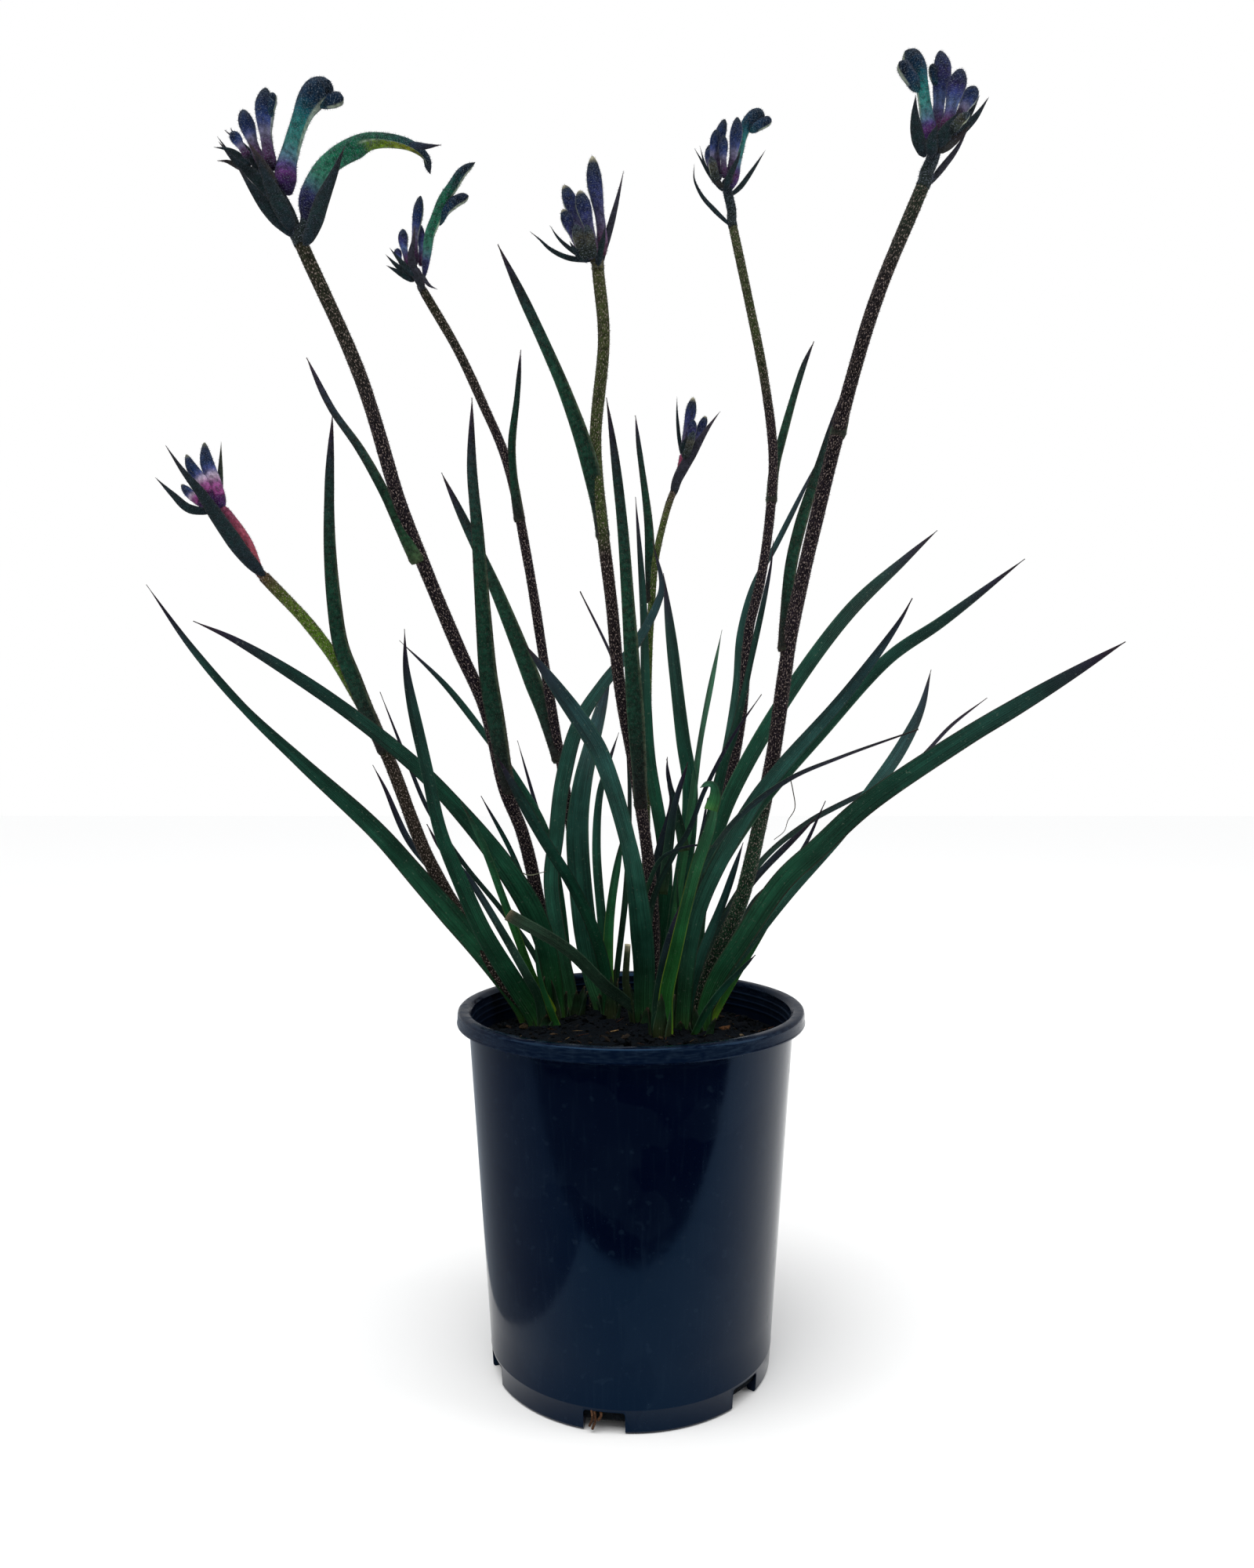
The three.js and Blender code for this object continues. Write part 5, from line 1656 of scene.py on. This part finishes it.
HEAD_3 = Head(
    Stalk.OLIVE, axis=((-1, 0, 5), (-3, 0, 8), (-4, 0, 10)), girth=(7, 6),
    flowers=(
        Flower(Stage.CLUB, ((2, 0, 8), (2, -1, 20), (0, -2, 34), (-2, -2, 47), (-3, -3, 60)), 8.8,
               Bloom.VIOLET),
        Flower(Stage.CLUB, ((-2, -5, 6), (-4, -6, 17), (-7, -7, 28), (-10, -8, 39)), 8.6,
               Bloom.VIOLET),
        Flower(Stage.CLUB, ((-6, 3, 12), (-11, 4, 26), (-15, 5, 38), (-19, 6, 49)), 8.2,
               Bloom.VIOLET),
        Flower(Stage.CLUB, ((-9, -3, 9), (-14, -4, 18), (-19, -6, 30)), 6.6, Bloom.VIOLET),
        Flower(Stage.BUD, ((-6, -6, 3), (-9, -8, 11), (-12, -10, 20)), 8, Bloom.TAN),
        Flower(Stage.BUD, ((-3, -8, 3), (-4, -10, 11), (-6, -12, 19)), 6.2, Bloom.TAN),
    ),
    bracts=(
        Scale(((-4, -2, 4), (-17, -2, 6), (-26, -3, 10), (-32, -4, 15), (-37, -4, 19)), 3.2),
        Scale(((-5, 2, 6), (-15, 4, 13), (-22, 6, 20), (-27, 8, 28)), 2.8),
        Scale(((1, 1, 2), (3, 2, 12), (7, 2, 26), (11, 3, 42), (14, 4, 56)), 4.2, Husk.GREY),
        Scale(((0, -5, 0), (1, -6, 7), (3, -7, 14), (4, -8, 20)), 4.4),
        Scale(((-5, -6, 2), (-11, -9, 5), (-15, -12, 10)), 4.2),
    ),
)

HEAD_4 = Head(
    Stalk.INK, axis=((-1, 0, 11), (-3, 0, 20), (-5, 0, 31)), girth=(6, 6),
    flowers=(
        Flower(Stage.CLOSED, ((-2, -1, 24), (1, -1, 37), (4, -1, 49), (6, 0, 58), (9, 0, 65),
               (15, 0, 70), (20, 0, 70)), 6.6, Bloom.TEAL),
        Flower(Stage.LOBE, ((10, -2, 59), (16, -2, 63), (24, -2, 67)), 6.4, Bloom.CAP),
        Flower(Stage.CLUB, ((-3, -4, 26), (-1, -5, 39), (1, -5, 53), (2, -6, 66)), 8.2, Bloom.NAVY),
        Flower(Stage.CLUB, ((-9, 3, 32), (-10, 4, 46), (-8, 4, 60), (-5, 5, 71)), 7.2, Bloom.NAVY),
        Flower(Stage.CLUB, ((-12, -2, 32), (-13, -2, 43), (-12, -3, 52), (-11, -3, 60)), 6.6,
               Bloom.NAVY),
        Flower(Stage.CLUB, ((-6, -7, 28), (-7, -8, 41), (-7, -9, 53)), 6.2, Bloom.NAVY),
        Flower(Stage.CLUB, ((-12, 4, 34), (-15, 6, 45), (-14, 7, 56)), 6, Bloom.NAVY),
        Flower(Stage.BUD, ((-11, -6, 25), (-13, -8, 32), (-15, -9, 40)), 5.8, Bloom.TAN),
    ),
    bracts=(
        Scale(((-7, -2, 22), (-15, -3, 32), (-21, -4, 41), (-25, -5, 47)), 3.2),
        Scale(((-9, 2, 27), (-17, 4, 40), (-21, 5, 54)), 2.2),
        Scale(((-6, -7, 19), (-3, -9, 28), (1, -10, 36), (4, -12, 43)), 4.5),
        Scale(((-3, 1, 20), (4, 2, 26), (12, 3, 37), (21, 4, 51)), 3.5),
        Scale(((-2, -1, 1), (-12, -2, 10), (-20, -2, 19), (-25, -3, 29), (-25, -4, 38)), 3.2),
        Scale(((-7, -6, 22), (-11, -8, 26), (-14, -10, 32)), 3.5, Husk.UMBER),
    ),
)

HEAD_5 = Head(
    Stalk.INK, axis=((2, 0, 7), (5, 0, 14), (7, 0, 21)), girth=(7.4, 6.4),
    flowers=(
        Flower(Stage.CLOSED, ((4, 0, 22), (3, 0, 31), (1, -1, 41), (-1, -2, 51), (-3, -2, 59),
               (-7, -2, 65), (-10, -3, 68)), 7, Bloom.TEAL),
        Flower(Stage.LOBE, ((-3, -3, 47), (-7, -4, 53), (-11, -6, 57), (-14, -7, 60)), 7,
               Bloom.CAP),
        Flower(Stage.CLUB, ((8, 3, 27), (9, 4, 39), (10, 4, 51), (11, 4, 62), (10, 5, 73)), 9.6,
               Bloom.PLUM),
        Flower(Stage.LOBE, ((8, 2, 53), (6, 2, 59), (5, 1, 64)), 4.4, Bloom.CAP),
        Flower(Stage.CLUB, ((11, -3, 27), (14, -4, 40), (16, -5, 49), (18, -6, 57)), 10,
               Bloom.PLUM),
        Flower(Stage.CLUB, ((17, 3, 33), (23, 4, 44), (29, 6, 55)), 8.6, Bloom.NAVY),
        Flower(Stage.BUD, ((13, -7, 25), (17, -10, 29), (21, -12, 31)), 5.6, Bloom.TAN),
    ),
    bracts=(
        Scale(((7, -2, 17), (17, -3, 26), (26, -3, 34), (33, -4, 44)), 6),
        Scale(((8, 4, 22), (19, 5, 34), (27, 7, 43), (32, 8, 52)), 6.3),
        Scale(((6, -5, 18), (12, -8, 27), (17, -10, 34)), 8),
        Scale(((7, -4, 16), (16, -6, 22), (22, -8, 27)), 5.4, Husk.UMBER),
        Scale(((0, -5, 13), (-4, -6, 23), (-6, -8, 33), (-6, -9, 42)), 7.3),
        Scale(((3, -6, 13), (3, -8, 20), (5, -10, 27)), 7.1),
        Scale(((4, 3, 3), (11, 5, 12), (20, 7, 24), (27, 9, 37)), 3.7, Husk.GREY),
    ),
)

HEAD_6 = Head(
    Stalk.PINK, axis=((3, 0, 9), (5, 0, 18), (6, 0, 25)), girth=(5, 4.6),
    flowers=(
        Flower(Stage.CLUB, ((7, 0, 24), (8, -1, 38), (11, -1, 51), (13, -2, 63)), 7.8,
               Bloom.VIOLET),
        Flower(Stage.CLUB, ((11, 2, 26), (15, 3, 36), (20, 3, 46), (22, 4, 52)), 6.2, Bloom.VIOLET),
        Flower(Stage.CLUB, ((9, -4, 23), (11, -6, 33), (13, -7, 46)), 6.6, Bloom.PLUM),
        Flower(Stage.BUD, ((7, -5, 20), (10, -7, 29), (13, -9, 38)), 6.2, Bloom.TAN),
    ),
    bracts=(
        Scale(((5, 1, 24), (3, 2, 40), (2, 2, 54), (2, 3, 65)), 2.8),
        Scale(((-1, -3, -6), (2, -4, 6), (12, -6, 23), (22, -8, 39), (31, -9, 51)), 7.6, Husk.GREY),
        Scale(((7, -6, 21), (6, -8, 28), (9, -9, 35)), 4.8),
        Scale(((13, 3, 25), (18, 4, 34), (25, 6, 45)), 3.2, Husk.UMBER),
    ),
)

HEAD_7 = Head(
    Stalk.PINK, axis=((-10, 1, 21), (-20, 0, 36), (-26, 0, 43)), girth=(5.8, 4.8),
    flowers=(
        Flower(Stage.BUD, ((-26, 0, 41), (-30, 1, 57), (-35, 3, 69), (-37, 4, 82)), 8.8,
               Bloom.MAGENTA),
        Flower(Stage.BUD, ((-30, -2, 45), (-36, -3, 57), (-41, -5, 64), (-44, -6, 72)), 7.6,
               Bloom.MAGENTA),
        Flower(Stage.BUD, ((-36, 3, 44), (-44, 4, 49), (-52, 6, 57)), 6.2, Bloom.MAGENTA),
    ),
    bracts=(
        Scale(((1, -3, 0), (-10, -5, 12), (-19, -7, 25), (-27, -8, 37), (-34, -10, 48),
              (-44, -12, 61), (-53, -14, 75)), 9.7),
        Scale(((-32, 0, 39), (-45, -1, 41), (-54, -2, 49), (-64, -3, 59)), 5.6),
        Scale(((-28, 5, 48), (-29, 8, 65), (-29, 10, 84)), 3.7, Husk.OLIVE),
    ),
)

# Shoots, from the upper left one to the low left one
SCAPES = (
    Scape(
        "1", at=(-46, 62), width=(8.4, 7), bark=Bark.UMBER, petal_slot="flower_teal", head=HEAD_1,
        route=((-57, 56, 249), (-67, 42, 300), (-77, 32, 329), (-86, 14, 376), (-99, -4, 410),
               (-113, -20, 448), (-125, -39, 485), (-141, -60, 546), (-168, -70, 609)),
        leaves=(
            Leaf(((-118, -26, 456), (-126, -35, 475), (-136, -40, 496), (-148, -34, 516),
                 (-166, -24, 541), (-183, -12, 573)), (7, 5.6, 5, 4), 20, Sward.DUSK),
            Leaf(((-75, 33, 327), (-77, 21, 347), (-79, 11, 365), (-82, -4, 394), (-83, -16, 424),
                 (-86, -19, 474), (-90, -12, 511), (-91, -4, 553)), (13.4, 11.4, 8.6, 6.2), 15,
                 Sward.STEM),
        ),
    ),
    Scape(
        "2", at=(-24, 77), width=(6.8, 5.6), bark=Bark.UMBER, petal_slot="flower_teal", head=HEAD_2,
        route=((-29, 77, 240), (-39, 76, 300), (-42, 75, 323), (-54, 72, 396), (-66, 68, 473),
               (-79, 65, 536), (-94, 63, 572), (-109, 61, 604), (-130, 60, 640)),
        leaves=(
            Leaf(((-71, 67, 498), (-74, 62, 522), (-75, 58, 544), (-71, 52, 572), (-68, 46, 599)),
                 (7, 5, 5, 3.5), 20, Sward.STEM),
            Leaf(((-47, 72, 345), (-52, 76, 361), (-60, 82, 386), (-86, 92, 451), (-100, 94, 482),
                 (-126, 97, 537)), (10, 12, 9.7, 7), 15, Sward.STEM),
        ),
    ),
    Scape(
        "3", at=(13, 45), width=(7.6, 6.6), bark=Bark.OLIVE, stem_slot="stem_green", head=HEAD_3,
        route=((14, 45, 232), (12, 41, 271), (4, 29, 330), (-7, 10, 392), (-11, 1, 434),
               (-18, -8, 493), (-20, -14, 527), (-15, -24, 580), (-18, -30, 614)),
        leaves=(
            Leaf(((-16, -4, 473), (-19, -8, 494), (-25, -18, 518), (-36, -32, 547), (-47, -44, 570),
                 (-69, -62, 613)), (11.4, 10, 7.8, 6.4), 20, Sward.STEM),
            Leaf(((6, 33, 317), (5, 22, 338), (3, 10, 368), (1, 1, 396), (-2, -6, 440),
                 (-5, -10, 480), (-10, -11, 524), (-14, -8, 552)), (11.4, 10.4, 7.9, 6), 15,
                 Sward.STEM),
        ),
    ),
    Scape(
        "4", at=(31, 75), width=(6.8, 5.6), bark=Bark.SLATE, head=HEAD_4,
        route=((38, 75, 240), (61, 74, 320), (71, 72, 372), (76, 72, 430), (83, 72, 460),
               (89, 72, 501), (91, 71, 542), (85, 71, 591), (72, 70, 653), (65, 70, 685)),
        leaves=(
            Leaf(((90, 72, 511), (92, 74, 532), (98, 79, 555), (113, 92, 604), (121, 96, 623)),
                 (7, 6, 5.5, 4.5), 20, Sward.STEM),
        ),
    ),
    Scape(
        "5", at=(40, 23), width=(9.4, 7), bark=Bark.SHEATHED, petal_slot="flower_teal", head=HEAD_5,
        route=((46, 22, 215), (64, 16, 258), (70, 11, 282), (82, 0, 347), (88, -8, 397),
               (91, -13, 421), (105, -28, 491), (120, -43, 556), (130, -52, 591), (151, -60, 643)),
        leaves=(
            Leaf(((112, -35, 522), (116, -36, 537), (120, -38, 554), (125, -41, 566)),
                 (10, 7, 5, 3), 0, Sward.STEM),
            Leaf(((88, -10, 408), (89, -9, 426), (91, -6, 454), (97, -2, 480), (114, 6, 532),
                 (122, 9, 558)), (8.2, 7, 7.4, 5), 15, Sward.STEM),
        ),
    ),
    Scape(
        "6", at=(6, 79), width=(5.4, 4.6), bark=Bark.GREEN, stem_slot="stem_green", head=HEAD_6,
        route=((9, 80, 250), (10, 86, 305), (11, 95, 367), (12, 106, 417), (15, 112, 466),
               (17, 115, 485), (25, 122, 519), (30, 130, 534)),
        leaves=(
            Leaf(((13, 111, 453), (13, 114, 474), (12, 118, 507), (5, 125, 565), (3, 127, 584)),
                 (10, 7, 5.8, 4.3), 20, Sward.STEM),
        ),
    ),
    Scape(
        "7", at=(-61, 34), half=(8, 4.4), width=(9, 7), bark=Bark.MOSS, stem_slot="stem_green",
        head=HEAD_7,
        route=((-78, 35, 209), (-97, 35, 237), (-126, 37, 288), (-150, 38, 349), (-176, 33, 401),
               (-195, 31, 428), (-222, 30, 457)),
        leaves=(
            Leaf(((-151, 38, 351), (-156, 33, 365), (-161, 29, 378), (-167, 27, 394),
                 (-174, 24, 414), (-177, 20, 440), (-180, 22, 475), (-181, 26, 513),
                 (-180, 30, 555)), (11, 10.2, 8.2, 5.8), 15, Sward.STEM),
        ),
        basal=(
            Leaf(((-61, 33, 180), (-64, 33, 190), (-71, 33, 202), (-90, 31, 228), (-129, 24, 276),
                 (-152, 18, 304), (-193, 6, 345), (-223, -3, 376), (-250, -10, 410),
                 (-273, -16, 445)), (12, 14, 10.5, 5), 0, Sward.DARK),
            Leaf(((-62, 35, 180), (-68, 37, 200), (-99, 40, 244), (-120, 46, 273), (-140, 52, 296),
                 (-156, 57, 329), (-164, 60, 343)), (5, 5, 5, 4), 20, Sward.DUSK),
        ),
    ),
)

# Leaf fans, with routes from the soil up
FANS = (
    Fan("front", at=(17, -6), half=(9, 4), leaves=(
        Leaf(((20, -7, 180), (20, -8, 196), (20, -9, 210), (25, -16, 237), (35, -36, 285),
             (44, -55, 320), (42, -62, 331)), (8.5, 8.3, 7, 6.8), 0, Sward.LIME),
        Leaf(((15, -5, 180), (16, -5, 206), (18, -7, 224), (21, -10, 240), (31, -16, 270)),
             (8, 8, 6, 5), 10, Sward.DUSK),
        Leaf(((42, -60, 320), (44, -62, 328), (43, -63, 333), (40, -64, 334), (36, -66, 332)),
             (7.5, 7, 5, 3), 0, Sward.YOUNG, thickness=0.9),
        Leaf(((35, -12, 279), (39, -15, 299), (41, -17, 311), (43, -20, 325)), (3, 3, 2.6, 1.6), 0,
             Sward.DUSK, thickness=0.9),
    )),
    Fan("right_front", at=(42, 1), half=(10, 4), leaves=(
        Leaf(((43, 1, 180), (43, 2, 198), (49, 1, 217), (61, -1, 237), (87, -8, 277),
             (107, -14, 297), (131, -22, 321), (181, -38, 358), (207, -46, 375), (258, -62, 408)),
             (8.5, 12.5, 12, 10), 0, Sward.DARK),
        Leaf(((40, 2, 180), (42, 3, 196), (53, 5, 216), (76, 7, 248), (92, 8, 268), (125, 14, 304),
             (143, 22, 326), (164, 34, 352), (180, 46, 378), (189, 56, 403)), (6, 8, 8, 8), 0,
             Sward.BLUE),
        Leaf(((36, -4, 186), (44, -6, 202), (54, -8, 216), (63, -10, 226), (71, -12, 235)),
             (4, 4.6, 4.4, 3), 0, Sward.DARK, thickness=0.9),
        Leaf(((42, 6, 182), (55, 8, 206), (73, 9, 237), (90, 10, 266), (104, 12, 288)),
             (4, 4, 3.6, 3), 0, Sward.BRIGHT, thickness=0.9),
    )),
    Fan("right", at=(29, 11), half=(10, 4), leaves=(
        Leaf(((28, 12, 180), (29, 11, 200), (31, 10, 225), (33, 8, 241), (41, 5, 267),
             (71, -6, 319), (107, -18, 363), (143, -28, 403), (170, -34, 422), (213, -40, 455)),
             (9, 10, 10, 7), 0, Sward.DARK),
        Leaf(((30, 10, 180), (31, 9, 200), (35, 2, 242), (42, -6, 269), (68, -26, 322),
             (82, -35, 342), (115, -56, 383), (137, -74, 417), (142, -80, 428)), (9, 10, 9, 6.5), 0,
             Sward.BLUE),
        Leaf(((27, 11, 180), (28, 10, 200), (31, 2, 245), (38, -8, 278), (55, -36, 311),
             (81, -68, 336), (105, -88, 348), (137, -112, 361)), (6, 6.6, 4.2, 2.9), 30,
             Sward.DUSK),
        Leaf(((33, 12, 180), (34, 13, 200), (41, 15, 227), (55, 17, 262), (67, 18, 297)),
             (6, 6.5, 6, 4.5), 0, Sward.BLUE),
        Leaf(((92, 0, 337), (94, 0, 328), (95, 0, 318), (91, 0, 311), (89, 0, 305), (83, 0, 300)),
             (0.6, 0.6, 0.6, 0.5), 0, Sward.THREAD, thickness=0.27),
    )),
    Fan("right_back", at=(47, 38), half=(10, 4), leaves=(
        Leaf(((43, 38, 180), (40, 39, 204), (40, 40, 230), (45, 44, 273), (55, 47, 307),
             (66, 50, 332), (97, 60, 384), (141, 74, 442), (180, 88, 478), (204, 98, 499)),
             (9, 10, 9.8, 9), 0, Sward.DARK),
        Leaf(((45, 40, 180), (45, 42, 200), (45, 44, 219), (61, 50, 252), (84, 56, 284),
             (112, 62, 306), (181, 80, 341), (214, 94, 370), (240, 104, 388)), (5, 5, 4.5, 3.5), 35,
             Sward.DUSK),
        Leaf(((48, 37, 180), (46, 37, 202), (45, 36, 225), (60, 35, 252), (77, 34, 275),
             (113, 34, 311)), (5, 6, 6, 5), 20, Sward.DUSK),
        Leaf(((52, 38, 180), (56, 37, 210), (75, 36, 259), (94, 37, 276), (106, 38, 292),
             (120, 40, 321)), (3, 3, 3, 2.5), 0, Sward.DUSK),
    )),
    Fan("left_front", at=(-52, 21), half=(11, 4), leaves=(
        Leaf(((-54, 20, 180), (-56, 19, 190), (-67, 16, 209), (-86, 8, 243), (-98, -6, 276),
             (-106, -24, 305), (-109, -48, 339), (-113, -82, 390), (-112, -92, 411)),
             (13, 11, 8, 6.5), 0, Sward.DARK),
        Leaf(((-53, 20, 180), (-55, 17, 203), (-61, 12, 217), (-78, 15, 246), (-98, 26, 274),
             (-115, 22, 294), (-122, 18, 308)), (6, 5.5, 4.5, 4), 20, Sward.DUSK),
    )),
    Fan("left", at=(-44, 38), half=(7, 4), leaves=(
        Leaf(((-45, 37, 180), (-46, 36, 194), (-52, 31, 233), (-61, 24, 258), (-77, 13, 286),
             (-97, 0, 314), (-120, -14, 341), (-163, -39, 379), (-207, -61, 409), (-226, -68, 418)),
             (10, 14.5, 9.5, 7.5), 0, Sward.DARK),
        Leaf(((-44, 37, 180), (-50, 34, 196), (-58, 30, 210), (-68, 14, 242), (-75, -4, 269),
             (-83, -28, 301), (-92, -44, 324)), (5, 5, 5, 4), 25, Sward.BRIGHT),
        Leaf(((-45, 38, 180), (-49, 38, 206), (-54, 39, 230), (-61, 40, 254), (-73, 41, 287),
             (-93, 43, 324)), (6, 5, 4, 3), 20, Sward.DARK),
        Leaf(((-46, 39, 180), (-50, 40, 202), (-61, 42, 227), (-81, 46, 253), (-105, 48, 282),
             (-127, 50, 315), (-139, 52, 342), (-158, 55, 389)), (4, 3.5, 3, 2.5), 0, Sward.DUSK),
        Leaf(((-42, 20, 180), (-48, 17, 196), (-54, 15, 215), (-57, 12, 237)), (5, 4.4, 3.4, 2.4),
             0, Sward.LIME, thickness=0.9),
    )),
    Fan("centre_left", at=(-35, 48), half=(8, 4), leaves=(
        Leaf(((-36, 47, 180), (-40, 47, 206), (-44, 47, 226), (-50, 49, 270), (-47, 50, 298),
             (-43, 52, 332), (-33, 54, 369), (-17, 60, 395), (4, 68, 422), (17, 74, 447),
             (20, 77, 459), (14, 80, 488)), (11.5, 9.5, 10, 6.5), 0, Sward.BLUE),
        Leaf(((-36, 49, 180), (-38, 50, 196), (-45, 56, 242), (-51, 64, 281), (-65, 78, 327),
             (-75, 88, 359)), (6, 5.5, 4, 2.5), 20, Sward.DUSK),
        Leaf(((-37, 48, 180), (-38, 49, 198), (-45, 56, 262), (-54, 60, 300), (-73, 64, 334),
             (-95, 66, 364), (-119, 68, 394), (-149, 71, 423)), (4.5, 4.5, 5, 4.5), 20, Sward.DARK),
        Leaf(((-68, 34, 278), (-64, 34, 276), (-60, 34, 276), (-56, 34, 277), (-52, 34, 278)),
             (0.7, 0.7, 0.7, 0.6), 0, Sward.FIBRE, thickness=0.315),
    )),
    Fan("centre", at=(-13, 38), half=(8, 4), leaves=(
        Leaf(((-13, 39, 180), (-14, 40, 204), (-18, 44, 244), (-22, 57, 291), (-20, 67, 325),
             (-15, 72, 343), (-8, 78, 364)), (6.5, 6.2, 6.2, 5), 25, Sward.DARK),
        Leaf(((-14, 37, 180), (-14, 36, 198), (-17, 32, 222), (-25, 26, 249), (-36, 14, 274),
             (-51, -6, 302), (-73, -42, 349)), (7.6, 7.6, 7, 6.3), 0, Sward.DARK),
        Leaf(((-12, 38, 180), (-14, 38, 200), (-14, 38, 235), (-12, 38, 259), (-5, 40, 301)),
             (7, 7, 6, 5), 0, Sward.BRIGHT),
    )),
    Fan("back_left", at=(-15, 61), half=(9, 4), leaves=(
        Leaf(((-16, 62, 180), (-18, 62, 190), (-23, 63, 205), (-29, 63, 236), (-34, 64, 288),
             (-34, 65, 308), (-31, 68, 332), (-27, 76, 351), (-14, 112, 406)), (13, 15, 14.5, 10),
             0, Sward.BLUE),
        Leaf(((-13, 62, 180), (-8, 65, 220), (-3, 70, 265), (-1, 86, 315), (-2, 100, 356),
             (-5, 116, 394), (-14, 126, 419), (-36, 140, 465)), (4, 4, 3.5, 3.4), 35, Sward.DUSK),
    )),
    Fan("centre_front", at=(9, 25), half=(11, 4), leaves=(
        Leaf(((9, 25, 180), (8, 24, 193), (8, 19, 214), (7, 8, 236), (0, -26, 293), (-15, -62, 347),
             (-23, -75, 362), (-36, -92, 381), (-51, -112, 402)), (12, 13.5, 9, 9.5), 0,
             Sward.BLUE),
        Leaf(((5, 25, 180), (3, 24, 194), (-5, 22, 202), (-14, 16, 210), (-37, 0, 236),
             (-69, -24, 260)), (5, 7.5, 7.5, 7, 7), 0, Sward.DRY),
        Leaf(((15, 26, 180), (20, 26, 204), (27, 24, 230), (28, 20, 247), (27, 8, 282)),
             (3, 2.5, 2, 1.5), 20, Sward.BRIGHT),
        Leaf(((3, 25, 180), (1, 24, 192), (-3, 22, 210), (-2, 19, 236)), (5, 5, 4.5, 4, 3.5), 0,
             Sward.PALE),
        Leaf(((13, 26, 180), (12, 27, 210), (12, 26, 256), (25, 18, 289), (34, 14, 304),
             (43, 8, 328), (59, 0, 360), (75, -5, 384)), (4, 4, 3.5, 2.5), 0, Sward.DUSK),
        Leaf(((7, 0, 264), (11, -6, 277), (15, -11, 287), (20, -17, 293), (28, -23, 297),
             (36, -28, 299), (45, -34, 299)), (2.6, 2.6, 2.2, 1.4), 0, Sward.DUSK, thickness=0.9),
    )),
    Fan("back", at=(18, 62), half=(10, 4), leaves=(
        Leaf(((16, 62, 180), (18, 63, 226), (22, 66, 265), (21, 68, 290), (12, 76, 346),
             (10, 82, 381), (8, 96, 452), (3, 110, 524)), (9, 9, 8, 5), 0, Sward.DARK),
        Leaf(((21, 61, 180), (24, 61, 208), (32, 64, 266), (37, 68, 301), (38, 74, 331),
             (34, 80, 359), (27, 96, 425), (22, 112, 473)), (10, 11, 10, 8.2), 0, Sward.DARK),
        Leaf(((18, 62, 180), (18, 61, 206), (16, 60, 231), (14, 56, 267), (18, 52, 289),
             (26, 46, 320), (24, 44, 331), (22, 42, 347)), (6, 6, 7.5, 5), 0, Sward.DUSK),
        Leaf(((24, 61, 180), (24, 58, 204), (28, 57, 247), (37, 64, 306), (42, 76, 338),
             (47, 96, 364), (65, 150, 439)), (5.5, 5.5, 5.5, 4.5), 30, Sward.YOUNG),
        Leaf(((33, 40, 290), (29, 38, 310), (26, 36, 324), (23, 34, 333), (22, 32, 341),
             (22, 30, 348)), (7, 6, 4, 2.2), 0, Sward.DUSK, thickness=0.9),
        Leaf(((19, 26, 265), (22, 24, 289), (26, 22, 318), (34, 20, 345)), (6, 6.5, 5.5, 3.4), 0,
             Sward.DUSK, thickness=0.9),
    )),
    Fan("back_right", at=(42, 57), half=(9, 4), leaves=(
        Leaf(((38, 57, 180), (36, 57, 204), (35, 56, 227), (41, 55, 262), (59, 52, 348),
             (64, 52, 361), (76, 49, 415), (87, 47, 469), (88, 46, 482)), (7, 7.6, 7.6, 4.6), 25,
             Sward.DARK),
        Leaf(((45, 57, 180), (45, 58, 188), (46, 66, 199), (46, 74, 212), (44, 80, 236),
             (50, 84, 290), (60, 85, 336), (70, 92, 396), (73, 96, 430), (82, 100, 463),
             (97, 106, 490), (131, 122, 557)), (8, 9, 8, 5.4), 35, Sward.BLUE),
    )),
)

# Bark and dead bits on the mix that are large enough to tell apart
BARK = (
    Chip(42, -3, 30, 1.2, -29, "#4a3826"),
    Chip(43, 26, 11, 3.4, -60, "#5c6a34"),
    Chip(54, 7, 11, 4.5, 0, "#4f3420"),
    Chip(69, 83, 18, 5, -7, "#3a3029"),
    Chip(54, 43, 10, 4, -24, "#33291f"),
    Chip(-10, 2, 7, 2.6, 34, "#7a6242"),
    Chip(78, 19, 15, 0.7, -30, "#5a3424"),
    Chip(80, 17, 19, 0.7, 36, "#4a3020"),
    Chip(-45, -3, 6, 3, 19, "#3c2f22"),
    Chip(-75, 24, 9, 3.5, -43, "#2f261e"),
)


def main() -> None:
    """Builds the pot, the mix, the shoots, the fans and the studio."""
    logging.basicConfig(level=logging.INFO, format="%(name)s %(message)s")
    bpy.context.scene.view_settings.view_transform = "Standard"
    pot = Pot()
    pot.build()
    PottingMix(pot, BARK).build()
    finishes = Finishes(
        leaf=LeafFinish().material(),
        stem=DownyFinish("flower_stem_downy", "#a4948c", specks=0.62, speck_scale=135.0,
                         lengthwise=0.55).material(),
        stem_leaf=DownyFinish("sheath_leaf_downy", "#6c7c70", specks=0.26, speck_scale=90.0,
                              lengthwise=0.5).material(),
        petal=DownyFinish("petal_woolly", "#a4b0bc", specks=0.27, speck_scale=95.0,
                          lengthwise=2.4).material(),
        stem_hair=HairFinish("stem_hair", "#5c4c42").material(),
        petal_hair=HairFinish("petal_hair", "#50566a").material(),
    )
    for number, scape in enumerate(SCAPES):
        scape.build(finishes, number)
    for number, fan in enumerate(FANS):
        fan.build(finishes, number)
    Studio().build()


if __name__ == "__main__":
    main()
